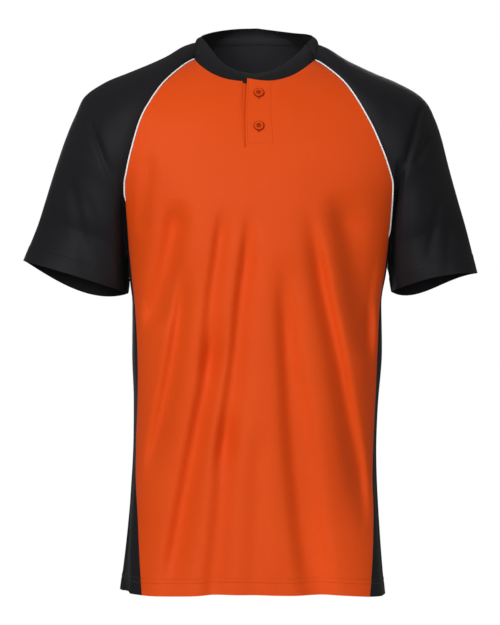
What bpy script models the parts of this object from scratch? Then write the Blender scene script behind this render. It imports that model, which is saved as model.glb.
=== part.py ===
"""Raglan baseball jersey with a two-button placket, filled out as if it were worn.

Front is -Y, up is +Z. X = 0, Y = 0, Z = 0 is the middle of the neck, level with the highest
point of the shoulder seams. Sizes are in millimetres and turned to metres when a mesh is made.
Each panel is a grid of points, rows by columns, given thickness inward by Solidify. Columns run
left to right on the front and on round the body, rows run up, so that faces point outward.
"""
import math

import bmesh
import bpy
import numpy as np
from mathutils import Vector

MM = 0.001

# Cloth and seams
WALL = 1.2
SEAM_GAP = 0.3
PIPING_RADIUS = 1.0
PIPING_SIDE = PIPING_RADIUS + SEAM_GAP
COLLAR_GAP = 0.9
PIPING_END_GAP = 1.8

# Rows and columns of the panels
BODY_ROWS = 12
YOKE_ROWS = 20
FRONT_LEFT_COLUMNS = 15
PLACKET_COLUMNS = 4
FRONT_RIGHT_COLUMNS = 13
BACK_COLUMNS = 22
SIDE_COLUMNS = 6
CAP_COLUMNS = 16
TUBE_ROWS = 5
COLLAR_ROWS = 3

# Heights
HEM_Z = -740.0
ARMPIT_Z = -285.0

# The body's level sections are superellipses: half of the width, and depth in front and behind
ROUNDNESS = 2.3
FRONT_SECTIONS = np.array([
    # z, half_width, depth
    (-740, 180, 125),
    (-705, 176, 124),
    (-628, 169, 122),
    (-541, 165, 122),
    (-487, 166, 123),
    (-420, 169.6, 125.4),
    (-356, 169, 128),
    (-317, 174.3, 130),
    (-285, 178, 132),
    (-260, 184, 131),
    (-222, 195, 130),
    (-200, 204, 128),
    (-152, 222, 118),
    (-114, 221, 107),
    (-81, 199, 93),
    (-58, 168, 80),
    (-36, 117, 62),
    (-28, 89, 55),
], float)
BACK_SECTIONS = np.array([
    # z, half_width, depth
    (-740, 180, 118),
    (-705, 176, 117),
    (-628, 169, 115),
    (-541, 165, 114),
    (-487, 166, 115),
    (-420, 169.6, 116.4),
    (-356, 169, 118),
    (-317, 174.3, 119.6),
    (-285, 178, 121),
    (-200, 200, 125),
    (-150, 210, 122),
    (-100, 200, 112),
    (-60, 177, 98),
    (-30, 150, 85),
    (0, 108, 72),
    (12, 86, 67),
], float)
SIDE_SEAMS = np.array([
    # z, front_left, front_right, back_x
    (-740, 147, 156, 151),
    (-700, 151, 159.4, 152.6),
    (-640, 155.5, 161, 155.5),
    (-582, 160, 159, 157.5),
    (-541, 160.4, 159.7, 159),
    (-487, 159.7, 160.9, 161),
    (-430, 160.6, 161.7, 162.5),
    (-356, 165, 166.4, 164.6),
    (-317, 170, 171.5, 169),
    (-285, 174.5, 174.5, 172),
], float)
FRONT_SEAM = {"left": 1, "right": 2}
BACK_SEAM = 3

# The lower edge is not quite level
HEM_LINE = np.array([
    # x, z
    (-185, -2.4),
    (-130, -1.8),
    (-95, 0),
    (-30, 3.2),
    (60, 1.8),
    (105, 0.6),
    (130, -2.2),
    (155, -5.8),
    (185, -10),
], float)
HEM_LINE_REACH = 110.0

# Raglan sleeve sections from the neck down to the armpit: front seam, ridge and back seam
RAGLAN_COLUMNS = ["front_x", "front_z", "ridge_x", "ridge_y", "ridge_z", "back_x", "back_z",
                  "front_reach", "back_reach"]
RAGLAN = np.array([
    # front_x, front_z, ridge_x, ridge_y, ridge_z, back_x, back_z, front_reach, back_reach
    (81, -28, 84, 4, -3, 62, 6, 1, 2),
    (93, -36, 101, 5, -10, 70, -5, 3, 3),
    (117, -58, 130, 6, -26, 86, -27, 5, 4),
    (133.8, -81, 165, 7, -41.5, 100, -52, 9, 5),
    (151.6, -114, 200, 8, -56, 119, -86, 14, 7),
    (165.6, -152, 230, 9, -75.5, 138, -126, 22, 10),
    (174.2, -181, 245.5, 9, -104, 150, -160, 32, 16),
    (178, -200, 256, 9, -131.5, 156, -185, 42, 26),
    (177.6, -222, 266.5, 10, -166, 162, -211, 48, 40),
    (175.5, -260, 280, 10, -212, 169, -255, 65, 62),
    (174.5, -285, 287.5, 10, -237, 172, -285, 72, 75),
], float)

# Cuff rings: the outer and inner ends as (x, y, z), and the reach, height and tilt of the
# middles of the front and back edges
CUFFS = {
    "left": dict(outer=(-316, 8, -297.5), inner=(-173.5, 4, -341.5),
                 front=(-62, -318, 0), back=(68, -338, 3.4)),
    "right": dict(outer=(302, 8, -314.5), inner=(185, 4, -339),
                  front=(-62, -320, 0), back=(68, -336, 11.5)),
}
UNDERARM_ANGLE = 34.0
# Below the armpit each sleeve keeps near the body for a while: how far, and where most
UNDERARM_HUG = {"left": (1.7, 1.7), "right": (1.7, 0.95)}
HUG_FROM = 0.5
HUG_OVER = 0.33

# Neckline: the front dips between the two front seams
NECK_DROP = 34.0
NECK_DROP_POWER = 2.9
DROP_STARTS_Z = -150.0

# Upper edge of the collar, from the front middle (0) by the seams (1, 3) and ridge (2) to the back
COLLAR_TOP = np.array([
    # station, x, y, z_right, z_left
    (0.0, 0, -62, -50, -50),
    (0.33, 24, -59, -44.5, -44.5),
    (0.67, 47, -45, -29, -29),
    (1.0, 67, -21, -5, -5),
    (1.5, 73.5, -8, 3.5, 3.5),
    (2.0, 75, 4, 8.5, 8.5),
    (2.5, 67, 24, 13.7, 14.5),
    (3.0, 53, 42, 17.2, 20),
    (3.5, 29, 54.5, 21.7, 24.5),
    (4.0, 0, 59, 26, 26),
], float)
COLLAR_BACK_STEPS = 9
COLLAR_TIP_WIDTH = 0.3
COLLAR_TIP_LENGTH = 30.0
COLLAR_BOW = 2.0

# The collar's left end passes under the right one, over this length and in this short a step
COLLAR_UNDER_LENGTH = 44.0
COLLAR_UNDER_STEP = 10.0
COLLAR_UNDER_DEPTH = 1.725

# Placket: a box cut out of the front, filled by an upper strip, with a lower strip behind it
PLACKET_STATION = 5
SLIT_LEFT_TOP = -15.5
SLIT_LEFT_BOTTOM = -16.5
FREE_EDGE_TOP = -9.3
FREE_EDGE_BOTTOM = -14.5
PLACKET_RIGHT = 24.0
FLAP_LIFT = 4.0
FLAP_LIFT_POWER = 1.5
FLAP_LIFT_STATIONS = 2
UNDER_LEFT = -26.0
UNDER_RIGHT = 19.0
UNDER_DEPTH = WALL + SEAM_GAP

# Buttons
BUTTON_X = 4.2
BUTTON_HEIGHTS = {"button_upper": -78.6, "button_lower": -123.6}
BUTTON_RADIUS = 6.6
BUTTON_THICKNESS = 2.6
BUTTON_RIM = 1.3
BUTTON_DISH = 0.8
BUTTON_DISH_RUN = 0.6
BUTTON_RIM_DROP = 0.1
BUTTON_ROUND = 0.3
BUTTON_BACK_BEVEL = 1.2
BUTTON_CLEARANCE = 0.45
HOLE_RADIUS = 0.8
HOLE_SPREAD = 1.5
BUTTON_SIDES = 28
HOLE_SIDES = 8
HOLE_CUTTER_DEPTH = 3 * BUTTON_THICKNESS
WELD = 0.02
BUTTON_WELD = 0.01

# How far the body, and the ridges of the sleeves, lean to one side at each height
LEAN = np.array([
    # z, x
    (-740, -4),
    (-500, 0.2),
    (-460, 1.4),
    (-410, 2.1),
    (-350, 1.8),
    (-285, 3.6),
    (-200, 4),
    (-165, 2.5),
    (-130, 0),
    (-100, -2),
    (-40, -2),
    (-10, 1.5),
    (40, 2.5),
], float)
RIDGE_LEAN = np.array([
    # z, x
    (-320, -5.5),
    (-180, -4.6),
    (-95, -1.5),
    (-70, -4.5),
    (-50, -7),
    (-30, -4.5),
    (-8, -1),
    (5, 0.7),
], float)

RIDGE_LEAN_STATIONS = 2

# The left shoulder stands a little higher beside the neck
SHOULDER_RAISE = 3.2
SHOULDER_RAISE_X = (-74, -86, -96, -122)
SHOULDER_RAISE_Y = 34.0
SHOULDER_RAISE_FROM = -90.0
SHOULDER_RAISE_OVER = 30.0

# The back neckline stands higher in its middle
BACK_NECK_RISE = 3.0
BACK_NECK_FROM = -30.0
BACK_NECK_OVER = 36.0

# How a sleeve leaves its seams and arrives at its ridge, and how columns crowd to an edge
LEAVE_SHARE = 0.35
ARRIVE_SHARE = 0.55
SPREAD_ANGLE = 60.0

# Largest folds: soft troughs, each from its upper to its lower end
FRONT_FOLDS = np.array([
    # x_top, z_top, x_bottom, z_bottom, width, depth
    (-108, -235, -138, -372, 13, 5.0),
    (-44, -252, -78, -560, 15, 3.5),
    (-14, -260, -60, -700, 17, 4.5),
    (34, -330, 48, -700, 16, 3.5),
    (62, -252, 138, -668, 16, 6.0),
    (98, -236, 146, -395, 14, 6.5),
    (84, -420, 100, -560, 13, 3.0),
    (-96, -380, -140, -560, 13, 3.5),
], float)
BACK_FOLDS = np.array([
    # x_top, z_top, x_bottom, z_bottom, width, depth
    (118, -235, 132, -380, 14, 5.0),
    (52, -262, 86, -610, 17, 4.5),
    (8, -300, 14, -700, 18, 4.0),
    (-40, -255, -66, -640, 16, 5.0),
    (-112, -230, -136, -400, 14, 5.5),
], float)
SLEEVE_FOLDS = {
    "left": np.array([(-226, -106, -184, -212, 11, 5.0), (-262, -182, -200, -292, 13, 4.0)], float),
    "right": np.array([(222, -86, 192, -184, 11, 5.0), (262, -206, 206, -284, 13, 4.0)], float),
}
FOLD_FADE = 0.22
SEAM_FADE = 22.0
FOLD_FRONT_Y = 6.0
FOLD_FRONT_FADE = 30.0

COLOURS = {
    # red, green, blue, roughness
    "orange_knit": (0.72, 0.09, 0.013, 0.55),
    "black_knit": (0.016, 0.016, 0.018, 0.6),
    "white_piping": (0.85, 0.85, 0.84, 0.5),
    "orange_button": (0.55, 0.07, 0.012, 0.35),
}


def column(table, key, value, at):
    """Read one column of a table at any place, on a smooth curve that never overshoots a row."""
    stations = table[:, key]
    values = table[:, value]
    steps = np.diff(values) / np.diff(stations)
    slopes = np.gradient(values, stations)
    steepest = 3 * np.minimum(np.abs(steps[:-1]), np.abs(steps[1:]))
    same_way = steps[:-1] * steps[1:] > 0
    slopes[1:-1] = np.where(same_way, np.clip(slopes[1:-1], -steepest, steepest), 0.0)
    at = np.clip(at, stations[0], stations[-1])
    row = np.clip(np.searchsorted(stations, at) - 1, 0, len(stations) - 2)
    span = stations[row + 1] - stations[row]
    t = (at - stations[row]) / span
    start = (1 + 2 * t) * (1 - t) ** 2 * values[row] + t * (1 - t) ** 2 * span * slopes[row]
    end = t * t * (3 - 2 * t) * values[row + 1] - t * t * (1 - t) * span * slopes[row + 1]
    return start + end


def smoothstep(t):
    t = np.clip(t, 0.0, 1.0)
    return t * t * (3 - 2 * t)


def fold_depth(x, z, folds):
    """How far the folds of a table draw a point in, each a soft trough with fading ends."""
    depth = np.zeros(np.broadcast(x, z).shape)
    for x_top, z_top, x_bottom, z_bottom, width, full in folds:
        along = np.array([x_bottom - x_top, z_bottom - z_top])
        length = np.linalg.norm(along)
        t = ((x - x_top) * along[0] + (z - z_top) * along[1]) / length ** 2
        aside = ((x - x_top) * along[1] - (z - z_top) * along[0]) / length
        fade = smoothstep(t / FOLD_FADE) * smoothstep((1 - t) / FOLD_FADE)
        depth += full * fade * np.exp(-(aside / width) ** 2)
    return depth


def body_y(x, z, sections, folds, edge_x):
    """Depth of the body's surface, positive outward, with its folds fading towards the seams."""
    half = column(sections, 0, 1, z)
    deep = column(sections, 0, 2, z)
    inside = np.clip(1 - np.abs(x / half) ** ROUNDNESS, 0.0, 1.0)
    near_seam = smoothstep((edge_x - np.abs(x)) / SEAM_FADE)
    return deep * inside ** (1 / ROUNDNESS) - fold_depth(x, z, folds) * near_seam


def raglan(station, name):
    """Read a named column of the sleeve sections at a station, 0 at the neck."""
    table = np.column_stack([np.arange(len(RAGLAN)), RAGLAN])
    return column(table, 0, 1 + RAGLAN_COLUMNS.index(name), station)


def lean(points, ridge_share=0.0):
    """Lean points to one side as the body does there, or in part as the ridge of a sleeve."""
    points = np.array(points, float)
    body = column(LEAN, 0, 1, points[..., 2])
    ridge = column(RIDGE_LEAN, 0, 1, points[..., 2])
    points[..., 0] += body + (ridge - body) * ridge_share
    begins, full, falls, ends = SHOULDER_RAISE_X
    across = (smoothstep((points[..., 0] - begins) / (full - begins))
              * smoothstep((points[..., 0] - ends) / (falls - ends)))
    over = (np.exp(-(points[..., 1] / SHOULDER_RAISE_Y) ** 2)
            * smoothstep((points[..., 2] - SHOULDER_RAISE_FROM) / SHOULDER_RAISE_OVER))
    points[..., 2] += SHOULDER_RAISE * across * over
    return points


def front_point(x, station):
    """A point of the front above the armpit, on the row that meets the raglan seam there."""
    edge_x = raglan(station, "front_x")
    edge_z = raglan(station, "front_z")
    rise = np.clip((edge_z - DROP_STARTS_Z) / (RAGLAN[0, 1] - DROP_STARTS_Z), 0.0, 1.0)
    z = edge_z - NECK_DROP * (1 - np.abs(x / edge_x) ** NECK_DROP_POWER) * rise
    y = -body_y(x, z, FRONT_SECTIONS, FRONT_FOLDS, edge_x)
    return np.stack([x, y, z], axis=-1)


def back_point(x, station):
    edge_x = raglan(station, "back_x")
    z = raglan(station, "back_z") + np.zeros_like(x)
    high = smoothstep((z - BACK_NECK_FROM) / BACK_NECK_OVER)
    z = z + BACK_NECK_RISE * (1 - np.abs(x / edge_x) ** 2) * high
    y = body_y(x, z, BACK_SECTIONS, BACK_FOLDS, edge_x)
    return np.stack([x, y, z], axis=-1)


def spread(start, end, edge, count):
    """Places from start to end across a panel, closer together towards its edge."""
    steep = math.radians(SPREAD_ANGLE)
    angles = np.arcsin(np.clip(np.array([start, end]) / edge, -1, 1) * math.sin(steep))
    return edge * np.sin(np.linspace(angles[0], angles[1], count + 1)) / math.sin(steep)


def slit_left(station):
    t = np.clip(station / PLACKET_STATION, 0, 1)
    return SLIT_LEFT_TOP + (SLIT_LEFT_BOTTOM - SLIT_LEFT_TOP) * t


def front_columns(left_edge, right_edge, station):
    left = spread(-left_edge, slit_left(station), left_edge, FRONT_LEFT_COLUMNS)
    box = np.linspace(slit_left(station), PLACKET_RIGHT, PLACKET_COLUMNS + 1)
    right = spread(PLACKET_RIGHT, right_edge, right_edge, FRONT_RIGHT_COLUMNS)
    return np.concatenate([left, box[1:-1], right])


def level_hem(points):
    """Let the lower edge rise and fall as its line says, less and less further up."""
    points = np.array(points, float)
    near = smoothstep(1 - (points[..., 2] - HEM_Z) / HEM_LINE_REACH)
    points[..., 2] += column(HEM_LINE, 0, 1, points[..., 0]) * near
    return points


def body_heights():
    return np.linspace(HEM_Z, ARMPIT_Z, BODY_ROWS + 1)


def yoke_stations():
    return np.linspace(len(RAGLAN) - 1, 0, YOKE_ROWS + 1)


def front_grid():
    rows = []
    for z in body_heights()[:-1]:
        edges = [column(SIDE_SEAMS, 0, FRONT_SEAM[side], z) for side in ("left", "right")]
        x = front_columns(*edges, len(RAGLAN))
        y = -body_y(x, z, FRONT_SECTIONS, FRONT_FOLDS, np.where(x < 0, *edges))
        rows.append(np.stack([x, y, z + np.zeros_like(x)], axis=-1))
    for station in yoke_stations():
        edge = raglan(station, "front_x")
        rows.append(front_point(front_columns(edge, edge, station), station))
    return level_hem(lean(rows))


def back_grid():
    rows = []
    for z in body_heights()[:-1]:
        edge = column(SIDE_SEAMS, 0, BACK_SEAM, z)
        x = spread(edge, -edge, edge, BACK_COLUMNS)
        y = body_y(x, z, BACK_SECTIONS, BACK_FOLDS, edge)
        rows.append(np.stack([x, y, z + np.zeros_like(x)], axis=-1))
    for station in yoke_stations():
        edge = raglan(station, "back_x")
        rows.append(back_point(spread(edge, -edge, edge, BACK_COLUMNS), station))
    return level_hem(lean(rows))


def side_row(z, side):
    """One level row of a side panel as on the right, from its front seam round to its back seam."""
    rows = []
    for sections, seam, sign in ((FRONT_SECTIONS, FRONT_SEAM[side], -1),
                                 (BACK_SECTIONS, BACK_SEAM, 1)):
        half = column(sections, 0, 1, z)
        deep = column(sections, 0, 2, z)
        end = math.asin((column(SIDE_SEAMS, 0, seam, z) / half) ** (ROUNDNESS / 2))
        angle = np.linspace(end, math.pi / 2, SIDE_COLUMNS // 2 + 1)
        x = half * np.sin(angle) ** (2 / ROUNDNESS)
        y = sign * deep * np.abs(np.cos(angle)) ** (2 / ROUNDNESS)
        rows.append(np.stack([x, y, z + np.zeros_like(x)], axis=-1))
    return np.concatenate([rows[0], rows[1][-2::-1]])


def mirrored(points):
    """The same points on the other side of the body."""
    return np.asarray(points) * (-1, 1, 1)


def side_grid(side):
    rows = np.array([side_row(z, side) for z in body_heights()])
    if side == "left":
        rows = mirrored(rows)[:, ::-1]
    return level_hem(lean(rows))


def bezier(start, leave, arrive, end, count):
    t = np.linspace(0, 1, count + 1)[:, None]
    return ((1 - t) ** 3 * start + 3 * t * (1 - t) ** 2 * leave
            + 3 * t * t * (1 - t) * arrive + t ** 3 * end)


def cap_row(station):
    """One section of the right sleeve, from the front seam over the ridge to the back seam."""
    front = front_point(np.array(raglan(station, "front_x")), station)
    back = back_point(np.array(raglan(station, "back_x")), station)
    ridge = np.array([raglan(station, name) for name in ("ridge_x", "ridge_y", "ridge_z")])
    halves = []
    for seam, reach, sign in ((front, "front_reach", -1), (back, "back_reach", 1)):
        climb = (ridge - seam) * (1, 0, 1)
        forward = np.array([0, sign, 0])
        leave = seam + LEAVE_SHARE * climb + raglan(station, reach) * forward
        depth = abs(seam[1] - ridge[1]) + LEAVE_SHARE * raglan(station, reach)
        arrive = ridge + ARRIVE_SHARE * depth * forward
        halves.append(bezier(seam, leave, arrive, ridge, CAP_COLUMNS // 2))
    return np.concatenate([halves[0], halves[1][-2::-1]])


def cuff_angles():
    """Places round the cuff in step with the columns above it, 0 at its outer end."""
    gap = math.radians(UNDERARM_ANGLE)
    return np.concatenate([
        np.linspace(math.pi - gap, -math.pi + gap, CAP_COLUMNS + 1),
        np.linspace(-math.pi + gap, -math.pi - gap, SIDE_COLUMNS + 1)[1:-1],
    ])


def cuff_ring(side):
    """The cuff as a closed ring."""
    cuff = CUFFS[side]
    outer = np.array(cuff["outer"], float)
    inner = np.array(cuff["inner"], float)
    angle = cuff_angles()
    centre = (outer + inner) / 2
    ring = centre + np.outer(np.cos(angle), (outer - inner) / 2)
    for sign, key in ((1, "front"), (-1, "back")):
        share = np.clip(np.sin(angle) * sign, 0, None)
        reach, height, tilt = cuff[key]
        ring[:, 1] += share * (reach - centre[1])
        ring[:, 2] += share ** 2 * (height - centre[2] + tilt * np.cos(angle))
    return ring


def sleeve_grids(side):
    """The open cap above the armpit and the closed tube below it."""
    stations = yoke_stations()[::-1]
    cap = np.array([cap_row(station) for station in stations])
    hollow = side_row(ARMPIT_Z, side)[::-1]
    if side == "left":
        cap = mirrored(cap)
        hollow = mirrored(hollow)
    outward = 1 if side == "right" else -1
    over_ridge = np.sin(np.linspace(0, math.pi, CAP_COLUMNS + 1))
    cap = lean(cap, over_ridge * smoothstep(stations / RIDGE_LEAN_STATIONS)[:, None])
    hollow = lean(hollow)
    front_only = smoothstep((FOLD_FRONT_Y - cap[..., 1]) / FOLD_FRONT_FADE)
    drawn = fold_depth(cap[..., 0], cap[..., 2], SLEEVE_FOLDS[side]) * over_ridge * front_only
    cap += drawn[..., None] * normals(cap) * outward
    inset(cap, "first_column", PIPING_SIDE)
    inset(cap, "last_column", SEAM_GAP / 2)
    underarm = hollow[1:-1] + np.array([outward * SEAM_GAP, 0, SEAM_GAP / 2])
    top = np.concatenate([cap[-1], underarm])
    bottom = cuff_ring(side)
    straight = bottom - top
    onward = cap[-1] - cap[-2]
    onward *= np.linalg.norm(straight[:CAP_COLUMNS + 1], axis=1, keepdims=True)
    onward /= np.linalg.norm(cap[-1] - cap[-2], axis=1, keepdims=True)
    start = straight.copy()
    start[:CAP_COLUMNS + 1] += (onward - straight[:CAP_COLUMNS + 1]) * over_ridge[:, None]
    t = np.linspace(0, 1, TUBE_ROWS + 1)[:, None, None]
    tube = top + straight * t + (start - straight) * t * (1 - t) ** 2
    amount, power = UNDERARM_HUG[side]
    beside = smoothstep((-np.cos(cuff_angles()) - HUG_FROM) / HUG_OVER)
    tube[..., 0] -= outward * amount * beside * np.sin(math.pi * t[..., 0] ** power)
    return cap, tube


def normals(grid):
    """Unit normals of a grid of points, outward for rows that run up."""
    across = np.gradient(grid, axis=1)
    up = np.gradient(grid, axis=0)
    normal = np.cross(across, up)
    return normal / np.linalg.norm(normal, axis=-1, keepdims=True)


def inset(grid, edge, amount):
    """Draw one border of a grid back into its panel, square to the border."""
    view = {
        "first_row": grid,
        "last_row": grid[::-1],
        "first_column": grid.swapaxes(0, 1),
        "last_column": grid.swapaxes(0, 1)[::-1],
    }[edge]
    along = np.gradient(view[0], axis=0)
    along /= np.linalg.norm(along, axis=-1, keepdims=True)
    inward = view[1] - view[0]
    inward -= (inward * along).sum(axis=-1, keepdims=True) * along
    inward /= np.linalg.norm(inward, axis=-1, keepdims=True)
    view[0] += inward * amount


def strip_grid(left_at, right_x, depth, lift):
    """A strip of the placket, made from the front's own points and moved in by a depth."""
    stations = yoke_stations()
    stations = stations[stations <= PLACKET_STATION]
    rows = []
    for station in stations:
        x = np.linspace(left_at(station), right_x, PLACKET_COLUMNS + 1)
        row = front_point(x, station)
        raised = np.clip((right_x - x) / (right_x - left_at(station)), 0, 1) ** FLAP_LIFT_POWER
        row[:, 2] += lift * raised * smoothstep(1 - station / FLAP_LIFT_STATIONS)
        rows.append(row)
    grid = lean(rows)
    return grid - depth * normals(grid)


def free_edge(station):
    t = station / PLACKET_STATION
    return FREE_EDGE_TOP + (FREE_EDGE_BOTTOM - FREE_EDGE_TOP) * t


def neck_loop():
    """The seam round the neck, from the free edge by the right shoulder and back to the left."""
    edge = raglan(0, "front_x")
    columns = front_columns(edge, edge, 0)
    flap = np.linspace(FREE_EDGE_TOP, PLACKET_RIGHT, PLACKET_COLUMNS + 1)
    beneath = np.linspace(SLIT_LEFT_TOP, UNDER_RIGHT, PLACKET_COLUMNS + 1)
    right_front = front_point(np.append(flap, columns[-FRONT_RIGHT_COLUMNS:]), 0)
    raised = np.clip((PLACKET_RIGHT - right_front[:, 0]) / (PLACKET_RIGHT - FREE_EDGE_TOP), 0, 1)
    right_front[:, 2] += FLAP_LIFT * raised ** FLAP_LIFT_POWER
    left_front = front_point(np.append(columns[:FRONT_LEFT_COLUMNS], beneath), 0)
    shoulder = cap_row(0)
    edge = raglan(0, "back_x")
    back = back_point(spread(edge, -edge, edge, 2 * COLLAR_BACK_STEPS), 0)
    parts = [right_front, shoulder[1:], back[1:], mirrored(shoulder)[::-1][1:], left_front[1:]]
    stations = [
        right_front[:, 0] / raglan(0, "front_x"),
        np.linspace(1, 3, CAP_COLUMNS + 1)[1:],
        np.linspace(3, 5, 2 * COLLAR_BACK_STEPS + 1)[1:],
        np.linspace(5, 7, CAP_COLUMNS + 1)[1:],
        8 + left_front[1:, 0] / raglan(0, "front_x"),
    ]
    return np.concatenate(parts), np.concatenate(stations)


def collar_grid():
    bottom, stations = neck_loop()
    folded = np.where(stations > 4, 8 - stations, stations)
    side = np.where(stations > 4, -1.0, 1.0)
    side = side * np.where(folded < 0, -1.0, 1.0)
    folded = np.abs(folded)
    top = np.stack([column(COLLAR_TOP, 0, key, folded) for key in (1, 2, 3)], axis=-1)
    top[:, 2] = np.where(side < 0, column(COLLAR_TOP, 0, 4, folded), top[:, 2])
    top[:, 0] *= side
    length = np.concatenate([[0], np.cumsum(np.linalg.norm(np.diff(bottom, axis=0), axis=1))])
    tip = COLLAR_TIP_WIDTH + (1 - COLLAR_TIP_WIDTH) * smoothstep(length / COLLAR_TIP_LENGTH)
    top = bottom + (top - bottom) * tip[:, None]
    t = np.linspace(0, 1, COLLAR_ROWS + 1)[:, None, None]
    grid = bottom + (top - bottom) * t
    outward = normals(grid)
    bow = COLLAR_BOW * np.sin(math.pi * t) * tip[:, None]
    under_from = length[-1] - COLLAR_UNDER_LENGTH
    under = smoothstep((length - under_from) / COLLAR_UNDER_STEP)[:, None]
    grid = grid + outward * (bow - COLLAR_UNDER_DEPTH * under)
    grid = lean(grid)
    inset(grid, "first_row", COLLAR_GAP)
    return grid


def material(name):
    red, green, blue, roughness = COLOURS[name]
    made = bpy.data.materials.new(name)
    made.use_nodes = True
    shader = made.node_tree.nodes["Principled BSDF"]
    shader.inputs["Base Color"].default_value = (red, green, blue, 1.0)
    shader.inputs["Roughness"].default_value = roughness
    shader.inputs["Metallic"].default_value = 0.0
    made.diffuse_color = (red, green, blue, 1.0)
    return made


def add_grid(bm, points, closed=False, left_out=None):
    """Add the faces of a grid of points, joining its last column to its first if closed."""
    verts = [[bm.verts.new(Vector(point) * MM) for point in row] for row in points]
    count = len(points[0])
    for row in range(len(points) - 1):
        for place in range(count if closed else count - 1):
            if left_out and left_out(row, place):
                continue
            after = (place + 1) % count
            bm.faces.new((verts[row][place], verts[row][after],
                          verts[row + 1][after], verts[row + 1][place]))
    bmesh.ops.delete(bm, geom=[vert for vert in bm.verts if not vert.link_faces], context="VERTS")


def new_object(name, data, made_of, collection):
    made = bpy.data.objects.new(name, data)
    made.data.materials.append(made_of)
    collection.objects.link(made)
    return made


def cloth(name, bm, made_of, collection, flip=False):
    """Finish a panel: an open surface with its thickness on the inner side."""
    bmesh.ops.remove_doubles(bm, verts=bm.verts, dist=WELD * MM)
    if flip:
        bmesh.ops.reverse_faces(bm, faces=bm.faces)
    mesh = bpy.data.meshes.new(name)
    bm.to_mesh(mesh)
    bm.free()
    mesh.shade_smooth()
    panel = new_object(name, mesh, made_of, collection)
    wall = panel.modifiers.new("wall", "SOLIDIFY")
    wall.thickness = WALL * MM
    wall.offset = -1.0
    return panel


def add_front(made_of, collection):
    grid = front_grid()
    inset(grid, "first_column", SEAM_GAP / 2)
    inset(grid, "last_column", SEAM_GAP / 2)
    yoke = grid[BODY_ROWS:]
    inset(yoke, "first_column", PIPING_SIDE - SEAM_GAP / 2)
    inset(yoke, "last_column", PIPING_SIDE - SEAM_GAP / 2)
    first = FRONT_LEFT_COLUMNS
    last = first + PLACKET_COLUMNS
    box_row = BODY_ROWS + YOKE_ROWS - 2 * PLACKET_STATION
    bm = bmesh.new()
    add_grid(bm, grid, left_out=lambda row, place: row >= box_row and first <= place < last)
    return cloth("front_panel", bm, made_of, collection)


def add_back(made_of, collection):
    grid = back_grid()
    inset(grid, "first_column", SEAM_GAP / 2)
    inset(grid, "last_column", SEAM_GAP / 2)
    bm = bmesh.new()
    add_grid(bm, grid)
    return cloth("back_panel", bm, made_of, collection)


def add_side(side, made_of, collection):
    grid = side_grid(side)
    for edge in ("first_column", "last_column", "last_row"):
        inset(grid, edge, SEAM_GAP / 2)
    bm = bmesh.new()
    add_grid(bm, grid)
    return cloth("side_panel_" + side, bm, made_of, collection)


def add_sleeve(side, made_of, collection):
    cap, tube = sleeve_grids(side)
    bm = bmesh.new()
    add_grid(bm, cap)
    add_grid(bm, tube, closed=True)
    return cloth("sleeve_" + side, bm, made_of, collection, flip=(side == "right"))


def add_collar(made_of, collection):
    bm = bmesh.new()
    add_grid(bm, collar_grid())
    return cloth("collar", bm, made_of, collection)


def add_placket(made_of, collection):
    over = strip_grid(free_edge, PLACKET_RIGHT, 0.0, FLAP_LIFT)
    inset(over, "last_column", SEAM_GAP)
    inset(over, "first_row", SEAM_GAP)
    under = strip_grid(lambda station: UNDER_LEFT, UNDER_RIGHT, UNDER_DEPTH, 0.0)
    inset(under, "last_row", COLLAR_GAP)
    for name, grid in (("placket_over", over), ("placket_under", under)):
        bm = bmesh.new()
        add_grid(bm, grid)
        cloth(name, bm, made_of, collection)


def add_piping(side, made_of, collection):
    """White piping in the front raglan seam, half of it standing proud."""
    grid = front_grid()[BODY_ROWS:]
    seam = grid[:, -1] if side == "right" else grid[:, 0]
    end = seam[-1] - seam[-2]
    seam[-1] -= end / np.linalg.norm(end) * PIPING_END_GAP
    curve = bpy.data.curves.new("piping_" + side, "CURVE")
    curve.dimensions = "3D"
    curve.bevel_depth = PIPING_RADIUS * MM
    curve.bevel_resolution = 2
    curve.use_fill_caps = True
    spline = curve.splines.new("POLY")
    spline.points.add(len(seam) - 1)
    for point, place in zip(spline.points, seam):
        point.co = (*(Vector(place) * MM), 1.0)
    return new_object("piping_" + side, curve, made_of, collection)


def button_profile():
    """Half of a button's section, from the dished front round the rim to the flat back."""
    inner = BUTTON_RADIUS - BUTTON_RIM - BUTTON_DISH_RUN
    return [
        (0.0, BUTTON_THICKNESS - BUTTON_DISH),
        (inner, BUTTON_THICKNESS - BUTTON_DISH),
        (BUTTON_RADIUS - BUTTON_RIM, BUTTON_THICKNESS - BUTTON_RIM_DROP),
        (BUTTON_RADIUS - BUTTON_RIM / 2, BUTTON_THICKNESS),
        (BUTTON_RADIUS - BUTTON_ROUND, BUTTON_THICKNESS - BUTTON_ROUND),
        (BUTTON_RADIUS, BUTTON_THICKNESS / 2),
        (BUTTON_RADIUS - BUTTON_BACK_BEVEL, 0.0),
        (0.0, 0.0),
    ]


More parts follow.
